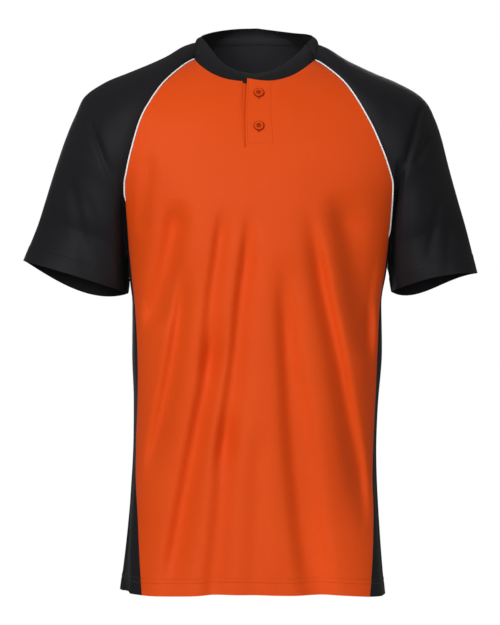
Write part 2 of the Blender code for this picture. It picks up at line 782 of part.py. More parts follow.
def add_button(name, surface, made_of, collection, cutters):
    """A four-hole button that lies on the upper strip, square to it."""
    target = np.array([BUTTON_X, BUTTON_HEIGHTS[name]])
    aside = np.linalg.norm(surface[..., [0, 2]] - target, axis=-1)
    row, place = np.unravel_index(np.argmin(aside), aside.shape)
    facing = normals(surface)[row, place]
    seat = surface[row, place].copy()
    offset = np.array([target[0] - seat[0], 0.0, target[1] - seat[2]])
    offset[1] = -(offset[0] * facing[0] + offset[2] * facing[2]) / facing[1]
    seat += offset + facing * BUTTON_CLEARANCE

    mesh = bpy.data.meshes.new(name)
    bm = bmesh.new()
    verts = [bm.verts.new((x * MM, 0, z * MM)) for x, z in button_profile()]
    for upper, lower in zip(verts, verts[1:]):
        bm.edges.new((upper, lower))
    bm.to_mesh(mesh)
    bm.free()
    button = new_object(name, mesh, made_of, collection)
    turn = button.modifiers.new("turn", "SCREW")
    turn.steps = BUTTON_SIDES
    turn.render_steps = BUTTON_SIDES
    turn.use_merge_vertices = True
    turn.merge_threshold = BUTTON_WELD * MM
    turn.use_smooth_shade = False
    for number in range(4):
        angle = math.radians(45 + 90 * number)
        bpy.ops.mesh.primitive_cylinder_add(vertices=HOLE_SIDES, radius=HOLE_RADIUS * MM,
                                            depth=HOLE_CUTTER_DEPTH * MM)
        hole = bpy.context.object
        hole.name = f"{name}_hole_{number}"
        for owner in list(hole.users_collection):
            owner.objects.unlink(hole)
        cutters.objects.link(hole)
        hole.location = (HOLE_SPREAD * math.cos(angle) * MM, HOLE_SPREAD * math.sin(angle) * MM, 0)
        hole.parent = button
        hole.hide_render = True
        hole.display_type = "WIRE"
        cut = button.modifiers.new(f"hole_{number}", "BOOLEAN")
        cut.object = hole
        cut.operation = "DIFFERENCE"
    button.location = Vector(seat) * MM
    button.rotation_euler = Vector(facing).to_track_quat("Z", "Y").to_euler()
    return button


def main():
    for old in list(bpy.data.objects):
        bpy.data.objects.remove(old)
    jersey = bpy.data.collections.new("baseball_jersey")
    cutters = bpy.data.collections.new("cutters")
    for collection in (jersey, cutters):
        bpy.context.scene.collection.children.link(collection)
    made = {name: material(name) for name in COLOURS}
    add_front(made["orange_knit"], jersey)
    add_back(made["black_knit"], jersey)
    for side in ("left", "right"):
        add_side(side, made["black_knit"], jersey)
        add_sleeve(side, made["black_knit"], jersey)
        add_piping(side, made["white_piping"], jersey)
    add_collar(made["black_knit"], jersey)
    add_placket(made["orange_knit"], jersey)
    surface = strip_grid(free_edge, PLACKET_RIGHT, 0.0, FLAP_LIFT)
    for name in BUTTON_HEIGHTS:
        add_button(name, surface, made["orange_button"], jersey, cutters)


main()
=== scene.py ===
"""Looks of the raglan baseball jersey: fine cloth shells, stitching, buttons, light and camera.

The surface follows the same named sizes as the construction model, in millimetres, with more
rows and columns, finer folds, hems, stitches and knit. Front is -Y and up is +Z.
"""
import math

import bmesh
import bpy
import numpy as np
from mathutils import Matrix, Vector


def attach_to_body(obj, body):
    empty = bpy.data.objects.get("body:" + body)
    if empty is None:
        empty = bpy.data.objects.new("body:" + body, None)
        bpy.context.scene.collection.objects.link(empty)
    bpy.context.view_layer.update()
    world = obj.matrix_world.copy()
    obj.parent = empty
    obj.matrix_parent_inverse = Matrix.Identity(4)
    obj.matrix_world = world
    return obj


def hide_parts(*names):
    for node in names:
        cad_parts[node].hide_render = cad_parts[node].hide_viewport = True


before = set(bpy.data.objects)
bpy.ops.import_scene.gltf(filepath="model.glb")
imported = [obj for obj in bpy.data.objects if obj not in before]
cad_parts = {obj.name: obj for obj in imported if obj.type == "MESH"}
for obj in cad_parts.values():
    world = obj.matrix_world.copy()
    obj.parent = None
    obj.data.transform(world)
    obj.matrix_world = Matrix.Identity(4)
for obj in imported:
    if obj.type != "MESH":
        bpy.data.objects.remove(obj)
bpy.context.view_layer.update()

MM = 0.001
HERE = "root"

# Cloth and seams
WALL = 0.9
SEAM_GAP = 0.1
SEAM_TUCK = 0.7
TUCK_SHARES = (1.0, 0.35, 0.08)
PIPING_RADIUS = 1.05
PIPING_SIDE = 1.0
COLLAR_GAP = 0.3
PIPING_END_GAP = 1.0

# Rows and columns of the panels
HEM_BAND = 27.0
HEM_ROWS = 22
BODY_ROWS = 96
YOKE_START = HEM_ROWS + BODY_ROWS
YOKE_ROWS = 100
FRONT_LEFT_COLUMNS = 72
PLACKET_COLUMNS = 16
FRONT_RIGHT_COLUMNS = 66
BACK_COLUMNS = 130
SIDE_COLUMNS = 28
CAP_COLUMNS = 96
TUBE_ROWS = 40
COLLAR_ROWS = 14

# Heights
HEM_Z = -740.0
ARMPIT_Z = -285.0

# The body's level sections are superellipses: half of the width, and depth in front and behind
ROUNDNESS = 2.3
FRONT_SECTIONS = np.array([
    # z, half_width, depth
    (-740, 180, 125),
    (-705, 176, 124),
    (-628, 169, 122),
    (-541, 165, 122),
    (-487, 166, 123),
    (-420, 169.6, 125.4),
    (-356, 169, 128),
    (-317, 174.3, 130),
    (-285, 178, 132),
    (-260, 184, 131),
    (-222, 195, 130),
    (-200, 204, 128),
    (-152, 222, 118),
    (-114, 221, 107),
    (-81, 199, 93),
    (-58, 168, 80),
    (-36, 117, 62),
    (-28, 89, 55),
], float)
BACK_SECTIONS = np.array([
    # z, half_width, depth
    (-740, 180, 118),
    (-705, 176, 117),
    (-628, 169, 115),
    (-541, 165, 114),
    (-487, 166, 115),
    (-420, 169.6, 116.4),
    (-356, 169, 118),
    (-317, 174.3, 119.6),
    (-285, 178, 121),
    (-200, 200, 125),
    (-150, 210, 122),
    (-100, 200, 112),
    (-60, 177, 98),
    (-30, 150, 85),
    (0, 108, 72),
    (12, 86, 67),
], float)
SIDE_SEAMS = np.array([
    # z, front_left, front_right, back_x
    (-740, 147, 156, 151),
    (-700, 151, 159.4, 152.6),
    (-640, 155.5, 161, 155.5),
    (-582, 160, 159, 157.5),
    (-541, 160.4, 159.7, 159),
    (-487, 159.7, 160.9, 161),
    (-430, 160.6, 161.7, 162.5),
    (-356, 165, 166.4, 164.6),
    (-317, 170, 171.5, 169),
    (-285, 174.5, 174.5, 172),
], float)
FRONT_SEAM = {"left": 1, "right": 2}
BACK_SEAM = 3

# The lower edge is not quite level
HEM_LINE = np.array([
    # x, z
    (-185, -2.4),
    (-130, -1.8),
    (-95, 0),
    (-30, 3.2),
    (60, 1.8),
    (105, 0.6),
    (130, -2.2),
    (155, -5.8),
    (185, -10),
], float)
HEM_LINE_REACH = 110.0

# Raglan sleeve sections from the neck down to the armpit: front seam, ridge and back seam
RAGLAN_COLUMNS = ["front_x", "front_z", "ridge_x", "ridge_y", "ridge_z", "back_x", "back_z",
                  "front_reach", "back_reach"]
RAGLAN = np.array([
    # front_x, front_z, ridge_x, ridge_y, ridge_z, back_x, back_z, front_reach, back_reach
    (81, -28, 84, 4, -3, 62, 6, 1, 2),
    (93, -36, 101, 5, -10, 70, -5, 3, 3),
    (117, -58, 130, 6, -26, 86, -27, 5, 4),
    (133.8, -81, 165, 7, -41.5, 100, -52, 9, 5),
    (151.6, -114, 200, 8, -56, 119, -86, 14, 7),
    (165.6, -152, 230, 9, -75.5, 138, -126, 22, 10),
    (174.2, -181, 245.5, 9, -104, 150, -160, 32, 16),
    (178, -200, 256, 9, -131.5, 156, -185, 42, 26),
    (177.6, -222, 266.5, 10, -166, 162, -211, 48, 40),
    (175.5, -260, 280, 10, -212, 169, -255, 65, 62),
    (174.5, -285, 287.5, 10, -237, 172, -285, 72, 75),
], float)

# Cuff rings: the outer and inner ends as (x, y, z), and the reach, height and tilt of the
# middles of the front and back edges
CUFFS = {
    "left": dict(outer=(-316, 8, -297.5), inner=(-173.5, 4, -341.5),
                 front=(-62, -318, 0), back=(68, -338, 3.4)),
    "right": dict(outer=(302, 8, -314.5), inner=(185, 4, -339),
                  front=(-62, -320, 0), back=(68, -336, 11.5)),
}

# Half of the part of a cuff that closes the sleeve under the arm, in degrees
UNDERARM_ANGLE = 34.0

# Below the armpit each sleeve keeps near the body for a while: how far, and where most
UNDERARM_HUG = {"left": (2.1, 1.7), "right": (1.9, 0.95)}
HUG_FROM = 0.5
HUG_OVER = 0.33

# Neckline: the front dips between the two front seams
NECK_DROP = 34.0
NECK_DROP_POWER = 2.9
DROP_STARTS_Z = -150.0

# Upper edge of the collar, from the front middle (0) by the seams (1, 3) and ridge (2) to the back
COLLAR_TOP = np.array([
    # station, x, y, z_right, z_left
    (0.0, 0, -62, -50, -50),
    (0.33, 24, -59, -44.5, -44.5),
    (0.67, 47, -45, -29, -29),
    (1.0, 67, -21, -5, -5),
    (1.5, 73.5, -8, 3.5, 3.5),
    (2.0, 75, 4, 8.5, 8.5),
    (2.5, 67, 24, 13.7, 14.5),
    (3.0, 53, 42, 17.2, 20),
    (3.5, 29, 54.5, 21.7, 24.5),
    (4.0, 0, 59, 26, 26),
], float)
COLLAR_BACK_STEPS = 46
COLLAR_TIP_WIDTH = 0.3
COLLAR_TIP_LENGTH = 30.0
COLLAR_BOW = 2.0

# The collar's left end passes under the right one, over this length and in this short a step
COLLAR_UNDER_LENGTH = 44.0
COLLAR_UNDER_STEP = 10.0
COLLAR_UNDER_DEPTH = 1.725

# Placket: a box cut out of the front, filled by an upper strip, with a lower strip behind it
PLACKET_STATION = 5
STATION_TOLERANCE = 0.001
SLIT_LEFT_TOP = -15.5
SLIT_LEFT_BOTTOM = -16.5
FREE_EDGE_TOP = -9.3
FREE_EDGE_BOTTOM = -14.5
FREE_EDGE_POWER = 1.7
PLACKET_RIGHT = 24.0
FLAP_LIFT = 4.0
FLAP_LIFT_POWER = 1.5
FLAP_LIFT_STATIONS = 2
UNDER_LEFT = -26.0
UNDER_RIGHT = 19.0
UNDER_STARTS = 1.0
UNDER_SLOPE = 0.45
UNDER_SLOPES_FOR = 8.0

# How far the front turns in beside the slit, column by column, and over how many rows it starts
SLIT_TURN = (0.05, 0.2, 0.45, 0.85)
SLIT_TURN_ROWS = 10

# Buttons: the dish is given as (radius, height on its floor), the foot as (way in, height)
BUTTON_X = 4.2
BUTTON_HEIGHTS = {"button_upper": -78.6, "button_lower": -123.6}
BUTTON_SEAT = 0.35
BUTTON_RADIUS = 6.9
BUTTON_THICKNESS = 2.6
BUTTON_RIM = 2.0
BUTTON_BEVEL = 1.35
BUTTON_EDGE = 0.7
BUTTON_DISH = 1.05
BUTTON_FLOOR = ((0.0, -0.12), (1.4, -0.1), (2.4, -0.02))
BUTTON_SLOPE = 0.8
BUTTON_FOOT = ((0.9, 0.15), (1.8, 0.0))
BUTTON_STEPS = 64
BUTTON_SHARP = 40
BUTTON_MERGE = 0.00001
SLOPE_STEPS = 6
BEVEL_STEPS = 8
HOLES = 4
HOLE_RADIUS = 0.85
HOLE_SPREAD = 1.6
HOLE_SIDES = 20

# The threads of a button: two rows of strands that bow up a little and dive into the holes
STRANDS = (-0.32, -0.1, 0.12, 0.34)
STRAND_RADIUS = 0.14
STRAND_POINTS = 9
STRAND_RISE = 0.12
STRAND_BOW = 0.28
STRAND_DIVE = 0.9
STRAND_DIVE_POWER = 8
STRAND_OVERLAP = 0.15

# How much painted shade darkens a button at each radius: in its dish and round its edge
BUTTON_PAINTED_SHADE = np.array([
    # radius, share
    (0.0, 0.15),
    (2.0, 0.3),
    (2.9, 0.8),
    (3.5, 0.0),
    (5.5, 0.0),
    (6.2, 1.0),
    (7.0, 1.0),
])

# Buttonholes: each reaches further below its button than above it
BUTTONHOLE_LENGTH = 15.4
BUTTONHOLE_WIDTH = 1.3
BUTTONHOLE_OFFSET = -0.8
BUTTONHOLE_STITCHES = 66
BUTTONHOLE_SLIT = 0.3
BUTTONHOLE_SLANT = 0.1
BUTTONHOLE_BARS = 6
BAR_STARTS = 0.2
BAR_PITCH = 0.3
BINDING_RADIUS = 0.16
BINDING_RISE = 0.16
BINDING_POINTS = 5

# How far the body, and the ridges of the sleeves, lean to one side at each height
LEAN = np.array([
    # z, x
    (-740, -4),
    (-500, 0.2),
    (-460, 1.4),
    (-410, 2.1),
    (-350, 1.8),
    (-285, 3.6),
    (-200, 4),
    (-165, 2.5),
    (-130, 0),
    (-100, -2),
    (-40, -2),
    (-10, 1.5),
    (40, 2.5),
], float)
RIDGE_LEAN = np.array([
    # z, x
    (-320, -5.5),
    (-180, -4.6),
    (-95, -1.5),
    (-70, -4.5),
    (-50, -7),
    (-30, -4.5),
    (-8, -1),
    (5, 0.7),
], float)
RIDGE_LEAN_STATIONS = 2

# The left shoulder stands a little higher beside the neck
SHOULDER_RAISE = 3.2
SHOULDER_RAISE_X = (-74, -86, -96, -122)
SHOULDER_RAISE_Y = 34.0
SHOULDER_RAISE_FROM = -90.0
SHOULDER_RAISE_OVER = 30.0

# The back neckline stands higher in its middle
BACK_NECK_RISE = 3.0
BACK_NECK_FROM = -30.0
BACK_NECK_OVER = 36.0

# How a sleeve leaves its seams and arrives at its ridge, and how columns crowd to an edge
LEAVE_SHARE = 0.35
ARRIVE_SHARE = 0.55
SPREAD_ANGLE = 60.0

# Folds: soft troughs through an upper, a middle and a lower point; skew makes one side steeper
FRONT_FOLDS = np.array([
    # x_top, z_top, x_middle, x_bottom, z_bottom, width, skew, depth
    (-108, -215, -120, -146, -400, 17, 0.1, 16.0),
    (-45, -221, -58, -70, -470, 11, 0.25, 9.0),
    (-49, -360, -82, -115, -760, 14, 0.25, 14.5),
    (-9, -221, -26, -48, -600, 12, 0.3, 11.5),
    (-36, -482, -45, -56, -800, 15, 0.2, 10.0),
    (-92, -300, -114, -143, -600, 12, 0.3, 12.0),
    (34, -285, 51, 88, -800, 16, 0.2, 13.5),
    (54, -420, 80, 104, -840, 14, 0.0, 6.0),
    (62, -221, 111, 161, -685, 12, -0.25, 14.0),
    (105, -200, 134, 165, -450, 27, 0.3, 16.0),
    (152, -351, 156, 160, -485, 9, 0, 6.0),
    (-141, -153, -150, -157, -272, 10, 0, 3.6),
    (3, -508, 3, 2, -795, 15, 0, 4.0),
], float)
BACK_FOLDS = np.array([
    (118, -228, 124, 138, -400, 12, -0.2, 5.0),
    (52, -255, 72, 92, -640, 14, -0.2, 4.4),
    (8, -290, 4, 16, -790, 15, 0.2, 4.0),
    (-40, -250, -58, -72, -680, 14, 0.3, 4.8),
    (-112, -225, -122, -140, -420, 12, 0.2, 5.2),
    (112, -480, 118, 128, -790, 12, 0.1, 3.0),
    (-100, -500, -108, -112, -790, 11, 0.1, 2.6),
    (60, -640, 56, 50, -800, 10, 0.0, 2.0),
    (-20, -560, -26, -34, -800, 12, 0.1, 2.2),
], float)
SLEEVE_FOLDS = {
    "left": np.array([
        (-225, -107, -202, -175, -226, 4.5, 0.5, 5.5),
        (-252, -178, -232, -217, -338, 10, 0, 3.2),
        (-228, -205, -209, -194, -331, 9, 0, 2.6),
        (-170, -99, -183, -184, -205, 9, 0, 2.2),
        (-196, -52, -211, -228, -139, 12, 0, 2.0),
    ], float),
    "right": np.array([
        (224, -80, 209, 188, -205, 4.5, -0.5, 6.5),
        (233, -128, 223, 209, -176, 5, -0.2, 3.0),
        (250, -205, 238, 229, -311, 7, 0, 3.0),
        (208, -192, 213, 211, -338, 12, 0, -2.4),
        (181, -85, 176, 181, -172, 10, 0, 2.0),
        (261, -238, 258, 253, -338, 8, 0, 2.0),
    ], float),
}
SIDE_FOLDS = np.array([
    (32, -356, 28, 40, -600, 12, 0.1, 2.6),
    (-38, -420, -30, -26, -790, 11, 0.1, 2.4),
    (4, -560, 8, 12, -800, 12, 0.1, 1.6),
], float)
FOLD_FADE = 0.22
FOLD_OVERRUN = 0.2
FOLD_WIDTH_TOP = 0.8
FOLD_WIDENS = 0.35
SEAM_FADE = 20.0
FOLD_FRONT_Y = 6.0
FOLD_FRONT_FADE = 30.0
SIDE_FOLDS_FROM = -300.0
SIDE_FOLDS_OVER = 60.0
SIDE_FOLDS_POWER = 0.7
SLEEVE_FOLDS_BEHIND = 0.7
SLEEVE_FOLDS_SPREAD = 1.6

# The unevenness of cloth that hangs free: slow and fine waves, from a height of the body down
RIPPLE_SLOW = 0.32
RIPPLE_FINE = 0.22
RIPPLE_FROM = -120.0
RIPPLE_OVER = 120.0
SLEEVE_RIPPLE = 0.8
SLEEVE_RIPPLE_PITCH = 1.3

# Under each arm the sleeve's cloth is drawn back beside the front seam
CREVICES = {
    "left": np.array([
        # z, x_inner, x_outer, recess
        (-350, 168, 183, 20),
        (-285, 171.2, 185.5, 23),
        (-240, 173.3, 185.5, 22),
        (-215, 174.5, 183, 14),
        (-186, 177, 182, 0),
    ], float),
    "right": np.array([
        # z, x_inner, x_outer, recess
        (-350, 178, 190, 20),
        (-285, 178.4, 191.5, 23),
        (-230, 181.3, 193.5, 23),
        (-200, 182.5, 197.5, 16),
        (-165, 185, 200, 0),
    ], float),
}
CREVICE_INNER_SLOPE = 3.0
CREVICE_OUTER_SLOPE = 7.5

# From these stations on, the piping sinks into its seam
PIPING_SINKS_AT = {"left": 7.55, "right": 8.9}
PIPING_SINKS_OVER = 0.6
PIPING_SINK = 2.6
PIPING_PROUD = 0.45

# Seam allowances and the tape inside the neck
ALLOWANCE_WIDTH = 7.0
ALLOWANCE_PAST = 2.5
ALLOWANCE_DEPTH = 1.15
ALLOWANCE_WALL = 0.5
ALLOWANCE_LINES = 40
ALLOWANCE_ROWS = 6
NECK_TAPE_STATIONS = (0.4, 0.2, 0.0)
NECK_TAPE_COLLAR_ROW = 3
NECK_TAPE_DEPTH = 1.15

# Hems: a doubled turn-up held by two rows of stitches
HEM_PROUD = 0.5
HEM_STEP_PAST = 1.5
HEM_STEP_OVER = 2.0
HEM_STITCH_DIP = 0.4
HEM_STITCH_REACH = 0.9
STITCH_HEIGHTS = (16.5, 22.0)

# The same on a cuff, in shares of the sleeve's length below the armpit
CUFF_STITCH_SHARES = (0.66, 0.74)
CUFF_STEP_BEFORE = 0.02
CUFF_STEP_OVER = 0.03
CUFF_STITCH_DIP = 0.22
CUFF_STITCH_REACH = 0.016

# A stitch: its thread's radius and flatness, and (along, rise) of each section of it
STITCH_LENGTH = 2.5
STITCH_PITCH = 3.1
STITCH_SECTIONS = ((-0.5, -0.25), (-0.32, 0.1), (0.0, 0.22), (0.32, 0.1), (0.5, -0.25))
THREAD = 0.2
THREAD_SIDES = 6
THREAD_FLATNESS = 0.7

# Knits: darker and lighter colour, roughness, specular level, and in millimetres the width of a
# rib and the height of a row, with the strength of their relief
KNITS = {
    "orange_knit": ((0.76, 0.070, 0.004), (0.82, 0.084, 0.006), 0.6, 0.14, 1.15, 0.95, 0.35),
    "black_knit": ((0.0085, 0.0085, 0.0101), (0.0115, 0.0115, 0.0136), 0.6, 0.16, 1.15, 0.95, 0.35),
    "collar_knit": ((0.0075, 0.0075, 0.0088), (0.0102, 0.0102, 0.0117), 0.65, 0.16, 1.6, 1.2, 0.5),
}
KNIT_SHEEN = 0.02
KNIT_SHEEN_ROUGHNESS = 0.45
KNIT_RELIEF = 0.00012
RIB_SHARE = 0.7
LOOP_SHARE = 0.4
CLOUD_SCALE = 9.0
CLOUD_SHARE = 0.6
FLECK_SCALE = 900.0
FLECK_SHARE = 0.4

# Cord and threads: darker and lighter colour, roughness, fineness of the strands, specular level
CORDS = {
    "white_piping": ((0.88, 0.88, 0.87), (0.96, 0.96, 0.95), 0.6, 150.0, 0.5),
    "orange_thread": ((0.42, 0.034, 0.003), (0.58, 0.052, 0.004), 0.7, 420.0, 0.15),
    "button_thread": ((0.22, 0.016, 0.001), (0.34, 0.028, 0.002), 0.8, 420.0, 0.1),
    "cuff_thread": ((0.01, 0.01, 0.011), (0.017, 0.017, 0.018), 0.75, 420.0, 0.12),
    "black_thread": ((0.05, 0.05, 0.052), (0.085, 0.085, 0.088), 0.75, 420.0, 0.12),
}
CORD_TWIST = 1.5
CORD_BUMP = 0.3
CORD_RELIEF = 0.0001

# Resin of the buttons: darker and lighter colour, the colour of the painted shade in the dish and
# round the edge, and its roughness
RESIN = ((0.68, 0.062, 0.003), (0.78, 0.076, 0.004))
RESIN_PAINTED_SHADE = (0.3, 0.02, 0.001)
RESIN_ROUGHNESS = (0.42, 0.58)
RESIN_SPECULAR = 0.12
RESIN_CLOUD = 260.0


def column(table, key, value, at):
    """Read one column of a table at any place, on a smooth curve that never overshoots a row."""
    stations = table[:, key]
    values = table[:, value]
    steps = np.diff(values) / np.diff(stations)
    slopes = np.gradient(values, stations)
    steepest = 3 * np.minimum(np.abs(steps[:-1]), np.abs(steps[1:]))
    same_way = steps[:-1] * steps[1:] > 0
    slopes[1:-1] = np.where(same_way, np.clip(slopes[1:-1], -steepest, steepest), 0.0)
    at = np.clip(at, stations[0], stations[-1])
    row = np.clip(np.searchsorted(stations, at) - 1, 0, len(stations) - 2)
    span = stations[row + 1] - stations[row]
    t = (at - stations[row]) / span
    start = (1 + 2 * t) * (1 - t) ** 2 * values[row] + t * (1 - t) ** 2 * span * slopes[row]
    end = t * t * (3 - 2 * t) * values[row + 1] - t * t * (1 - t) * span * slopes[row + 1]
    return start + end


def smoothstep(t):
    t = np.clip(t, 0.0, 1.0)
    return t * t * (3 - 2 * t)


def fold_depth(x, z, folds):
    """How far the folds of a table draw a point in, each a soft trough with fading ends."""
    depth = np.zeros(np.broadcast(x, z).shape)
    for x_top, z_top, x_middle, x_bottom, z_bottom, width, skew, full in folds:
        t = (z_top - z) / (z_top - z_bottom)
        bow = 4 * x_middle - 2 * (x_top + x_bottom)
        along = np.clip(t, -FOLD_OVERRUN, 1 + FOLD_OVERRUN)
        centre = x_top + (x_bottom - x_top) * along + bow * along * (1 - along)
        slope = (x_bottom - x_top + bow * (1 - 2 * along)) / (z_top - z_bottom)
        aside = (x - centre) / np.sqrt(1 + slope ** 2)
        reach = width * (1 + skew * np.tanh(aside / width)) * (FOLD_WIDTH_TOP + FOLD_WIDENS * along)
        fade = smoothstep(t / FOLD_FADE) * smoothstep((1 - t) / FOLD_FADE)
        depth += full * fade * np.exp(-(aside / reach) ** 2)
    return depth


def ripple(x, z):
    """The unevenness of free cloth: slow waves 12 to 20 cm wide, with fine ones of 7 cm on them."""
    slow = np.sin(x / 31 + z / 83) + 0.7 * np.sin(x / 19 - z / 140 + 1.3)
    fine = np.sin(x / 11.5 + z / 52 + 0.6) * np.sin(z / 61 + 2.1)
    return RIPPLE_SLOW * slow + RIPPLE_FINE * fine


def body_y(x, z, sections, folds, edge_x):
    """Depth of the body's surface, positive outward, with its folds fading towards the seams."""
    half = column(sections, 0, 1, z)
    deep = column(sections, 0, 2, z)
    inside = np.clip(1 - np.abs(x / half) ** ROUNDNESS, 0.0, 1.0)
    near_seam = smoothstep((edge_x - np.abs(x)) / SEAM_FADE)
    free = smoothstep((RIPPLE_FROM - z) / RIPPLE_OVER)
    drawn = fold_depth(x, z, folds) + ripple(x, z) * free
    return deep * inside ** (1 / ROUNDNESS) - drawn * near_seam


def raglan(station, name):
    """Read a named column of the sleeve sections at a station, 0 at the neck."""
    table = np.column_stack([np.arange(len(RAGLAN)), RAGLAN])
    return column(table, 0, 1 + RAGLAN_COLUMNS.index(name), station)


def lean(points, ridge_share=0.0):
    """Lean points to one side as the body does there, or in part as the ridge of a sleeve."""
    points = np.array(points, float)
    body = column(LEAN, 0, 1, points[..., 2])
    ridge = column(RIDGE_LEAN, 0, 1, points[..., 2])
    points[..., 0] += body + (ridge - body) * ridge_share
    begins, full, falls, ends = SHOULDER_RAISE_X
    across = (smoothstep((points[..., 0] - begins) / (full - begins))
              * smoothstep((points[..., 0] - ends) / (falls - ends)))
    over = (np.exp(-(points[..., 1] / SHOULDER_RAISE_Y) ** 2)
            * smoothstep((points[..., 2] - SHOULDER_RAISE_FROM) / SHOULDER_RAISE_OVER))
    points[..., 2] += SHOULDER_RAISE * across * over
    return points


def front_point(x, station):
    """A point of the front above the armpit, on the row that meets the raglan seam there."""
    edge_x = raglan(station, "front_x")
    edge_z = raglan(station, "front_z")
    rise = np.clip((edge_z - DROP_STARTS_Z) / (RAGLAN[0, 1] - DROP_STARTS_Z), 0.0, 1.0)
    z = edge_z - NECK_DROP * (1 - np.abs(x / edge_x) ** NECK_DROP_POWER) * rise
    y = -body_y(x, z, FRONT_SECTIONS, FRONT_FOLDS, edge_x)
    return np.stack([x, y, z], axis=-1)


def back_point(x, station):
    edge_x = raglan(station, "back_x")
    z = raglan(station, "back_z") + np.zeros_like(x)
    high = smoothstep((z - BACK_NECK_FROM) / BACK_NECK_OVER)
    z = z + BACK_NECK_RISE * (1 - np.abs(x / edge_x) ** 2) * high
    y = body_y(x, z, BACK_SECTIONS, BACK_FOLDS, edge_x)
    return np.stack([x, y, z], axis=-1)


def spread(start, end, edge, count):
    """Places from start to end across a panel, closer together towards its edge."""
    steep = math.radians(SPREAD_ANGLE)
    angles = np.arcsin(np.clip(np.array([start, end]) / edge, -1, 1) * math.sin(steep))
    return edge * np.sin(np.linspace(angles[0], angles[1], count + 1)) / math.sin(steep)


def slit_left(station):
    t = np.clip(station / PLACKET_STATION, 0, 1)
    return SLIT_LEFT_TOP + (SLIT_LEFT_BOTTOM - SLIT_LEFT_TOP) * t


def front_columns(left_edge, right_edge, station):
    left = spread(-left_edge, slit_left(station), left_edge, FRONT_LEFT_COLUMNS)
    box = np.linspace(slit_left(station), PLACKET_RIGHT, PLACKET_COLUMNS + 1)
    right = spread(PLACKET_RIGHT, right_edge, right_edge, FRONT_RIGHT_COLUMNS)
    return np.concatenate([left, box[1:-1], right])


def level_hem(points):
    """Let the lower edge rise and fall as its line says, less and less further up."""
    points = np.array(points, float)
    near = smoothstep(1 - (points[..., 2] - HEM_Z) / HEM_LINE_REACH)
    points[..., 2] += column(HEM_LINE, 0, 1, points[..., 0]) * near
    return points


def body_heights():
    """Heights of the level rows, close together in the hem."""
    hem = np.linspace(HEM_Z, HEM_Z + HEM_BAND, HEM_ROWS + 1)
    rest = np.linspace(HEM_Z + HEM_BAND, ARMPIT_Z, BODY_ROWS + 1)
    return np.concatenate([hem, rest[1:]])


def yoke_stations():
    return np.linspace(len(RAGLAN) - 1, 0, YOKE_ROWS + 1)


def hem_proud(z):
    """The doubled hem stands a little proud, and dips along its stitches."""
    above = z - HEM_Z
    band = HEM_PROUD * smoothstep((STITCH_HEIGHTS[1] + HEM_STEP_PAST - above) / HEM_STEP_OVER)
    for height in STITCH_HEIGHTS:
        band = band - HEM_STITCH_DIP * np.exp(-((above - height) / HEM_STITCH_REACH) ** 2)
    return band


def raise_hem(grid):
    grid += hem_proud(grid[..., 2])[..., None] * normals(grid)
    return grid


def draw_back(points):
    """Draw the front cloth in where it is gathered under the arms."""
    points = np.array(points, float)
    facing = smoothstep((FOLD_FRONT_Y - points[..., 1]) / FOLD_FRONT_FADE)
    for side, table in CREVICES.items():
        out = points[..., 0] * (1 if side == "right" else -1)
        inner, outer, recess = (column(table, 0, key, points[..., 2]) for key in (1, 2, 3))
        near = (smoothstep((out - inner) / CREVICE_INNER_SLOPE)
                * smoothstep((outer - out) / CREVICE_OUTER_SLOPE))
        points[..., 1] += recess * near * facing
    return points


def front_grid():
    rows = []
    for z in body_heights()[:-1]:
        edges = [column(SIDE_SEAMS, 0, FRONT_SEAM[side], z) for side in ("left", "right")]
        x = front_columns(*edges, len(RAGLAN))
        y = -body_y(x, z, FRONT_SECTIONS, FRONT_FOLDS, np.where(x < 0, *edges))
        rows.append(np.stack([x, y, z + np.zeros_like(x)], axis=-1))
    for station in yoke_stations():
        edge = raglan(station, "front_x")
        rows.append(front_point(front_columns(edge, edge, station), station))
    return draw_back(level_hem(raise_hem(lean(rows))))


def back_grid():
    rows = []
    for z in body_heights()[:-1]:
        edge = column(SIDE_SEAMS, 0, BACK_SEAM, z)
        x = spread(edge, -edge, edge, BACK_COLUMNS)
        y = body_y(x, z, BACK_SECTIONS, BACK_FOLDS, edge)
        rows.append(np.stack([x, y, z + np.zeros_like(x)], axis=-1))
    for station in yoke_stations():
        edge = raglan(station, "back_x")
        rows.append(back_point(spread(edge, -edge, edge, BACK_COLUMNS), station))
    return level_hem(raise_hem(lean(rows)))


def side_row(z, side):
    """One level row of a side panel as on the right, from its front seam round to its back seam."""
    rows = []
    for sections, seam, sign in ((FRONT_SECTIONS, FRONT_SEAM[side], -1),
                                 (BACK_SECTIONS, BACK_SEAM, 1)):
        half = column(sections, 0, 1, z)
        deep = column(sections, 0, 2, z)
        end = math.asin((column(SIDE_SEAMS, 0, seam, z) / half) ** (ROUNDNESS / 2))
        angle = np.linspace(end, math.pi / 2, SIDE_COLUMNS // 2 + 1)
        x = half * np.sin(angle) ** (2 / ROUNDNESS)
        y = sign * deep * np.abs(np.cos(angle)) ** (2 / ROUNDNESS)
        rows.append(np.stack([x, y, z + np.zeros_like(x)], axis=-1))
    return np.concatenate([rows[0], rows[1][-2::-1]])


def mirrored(points):
    """The same points on the other side of the body."""
    return np.asarray(points) * (-1, 1, 1)


def side_grid(side):
    rows = np.array([side_row(z, side) for z in body_heights()])
    fade = np.sin(np.linspace(0, math.pi, SIDE_COLUMNS + 1)) ** SIDE_FOLDS_POWER
    drawn = fold_depth(rows[..., 1], rows[..., 2], SIDE_FOLDS) * fade
    rows[..., 0] -= drawn * smoothstep((SIDE_FOLDS_FROM - rows[..., 2]) / SIDE_FOLDS_OVER)
    if side == "left":
        rows = mirrored(rows)[:, ::-1]
    return draw_back(level_hem(raise_hem(lean(rows))))


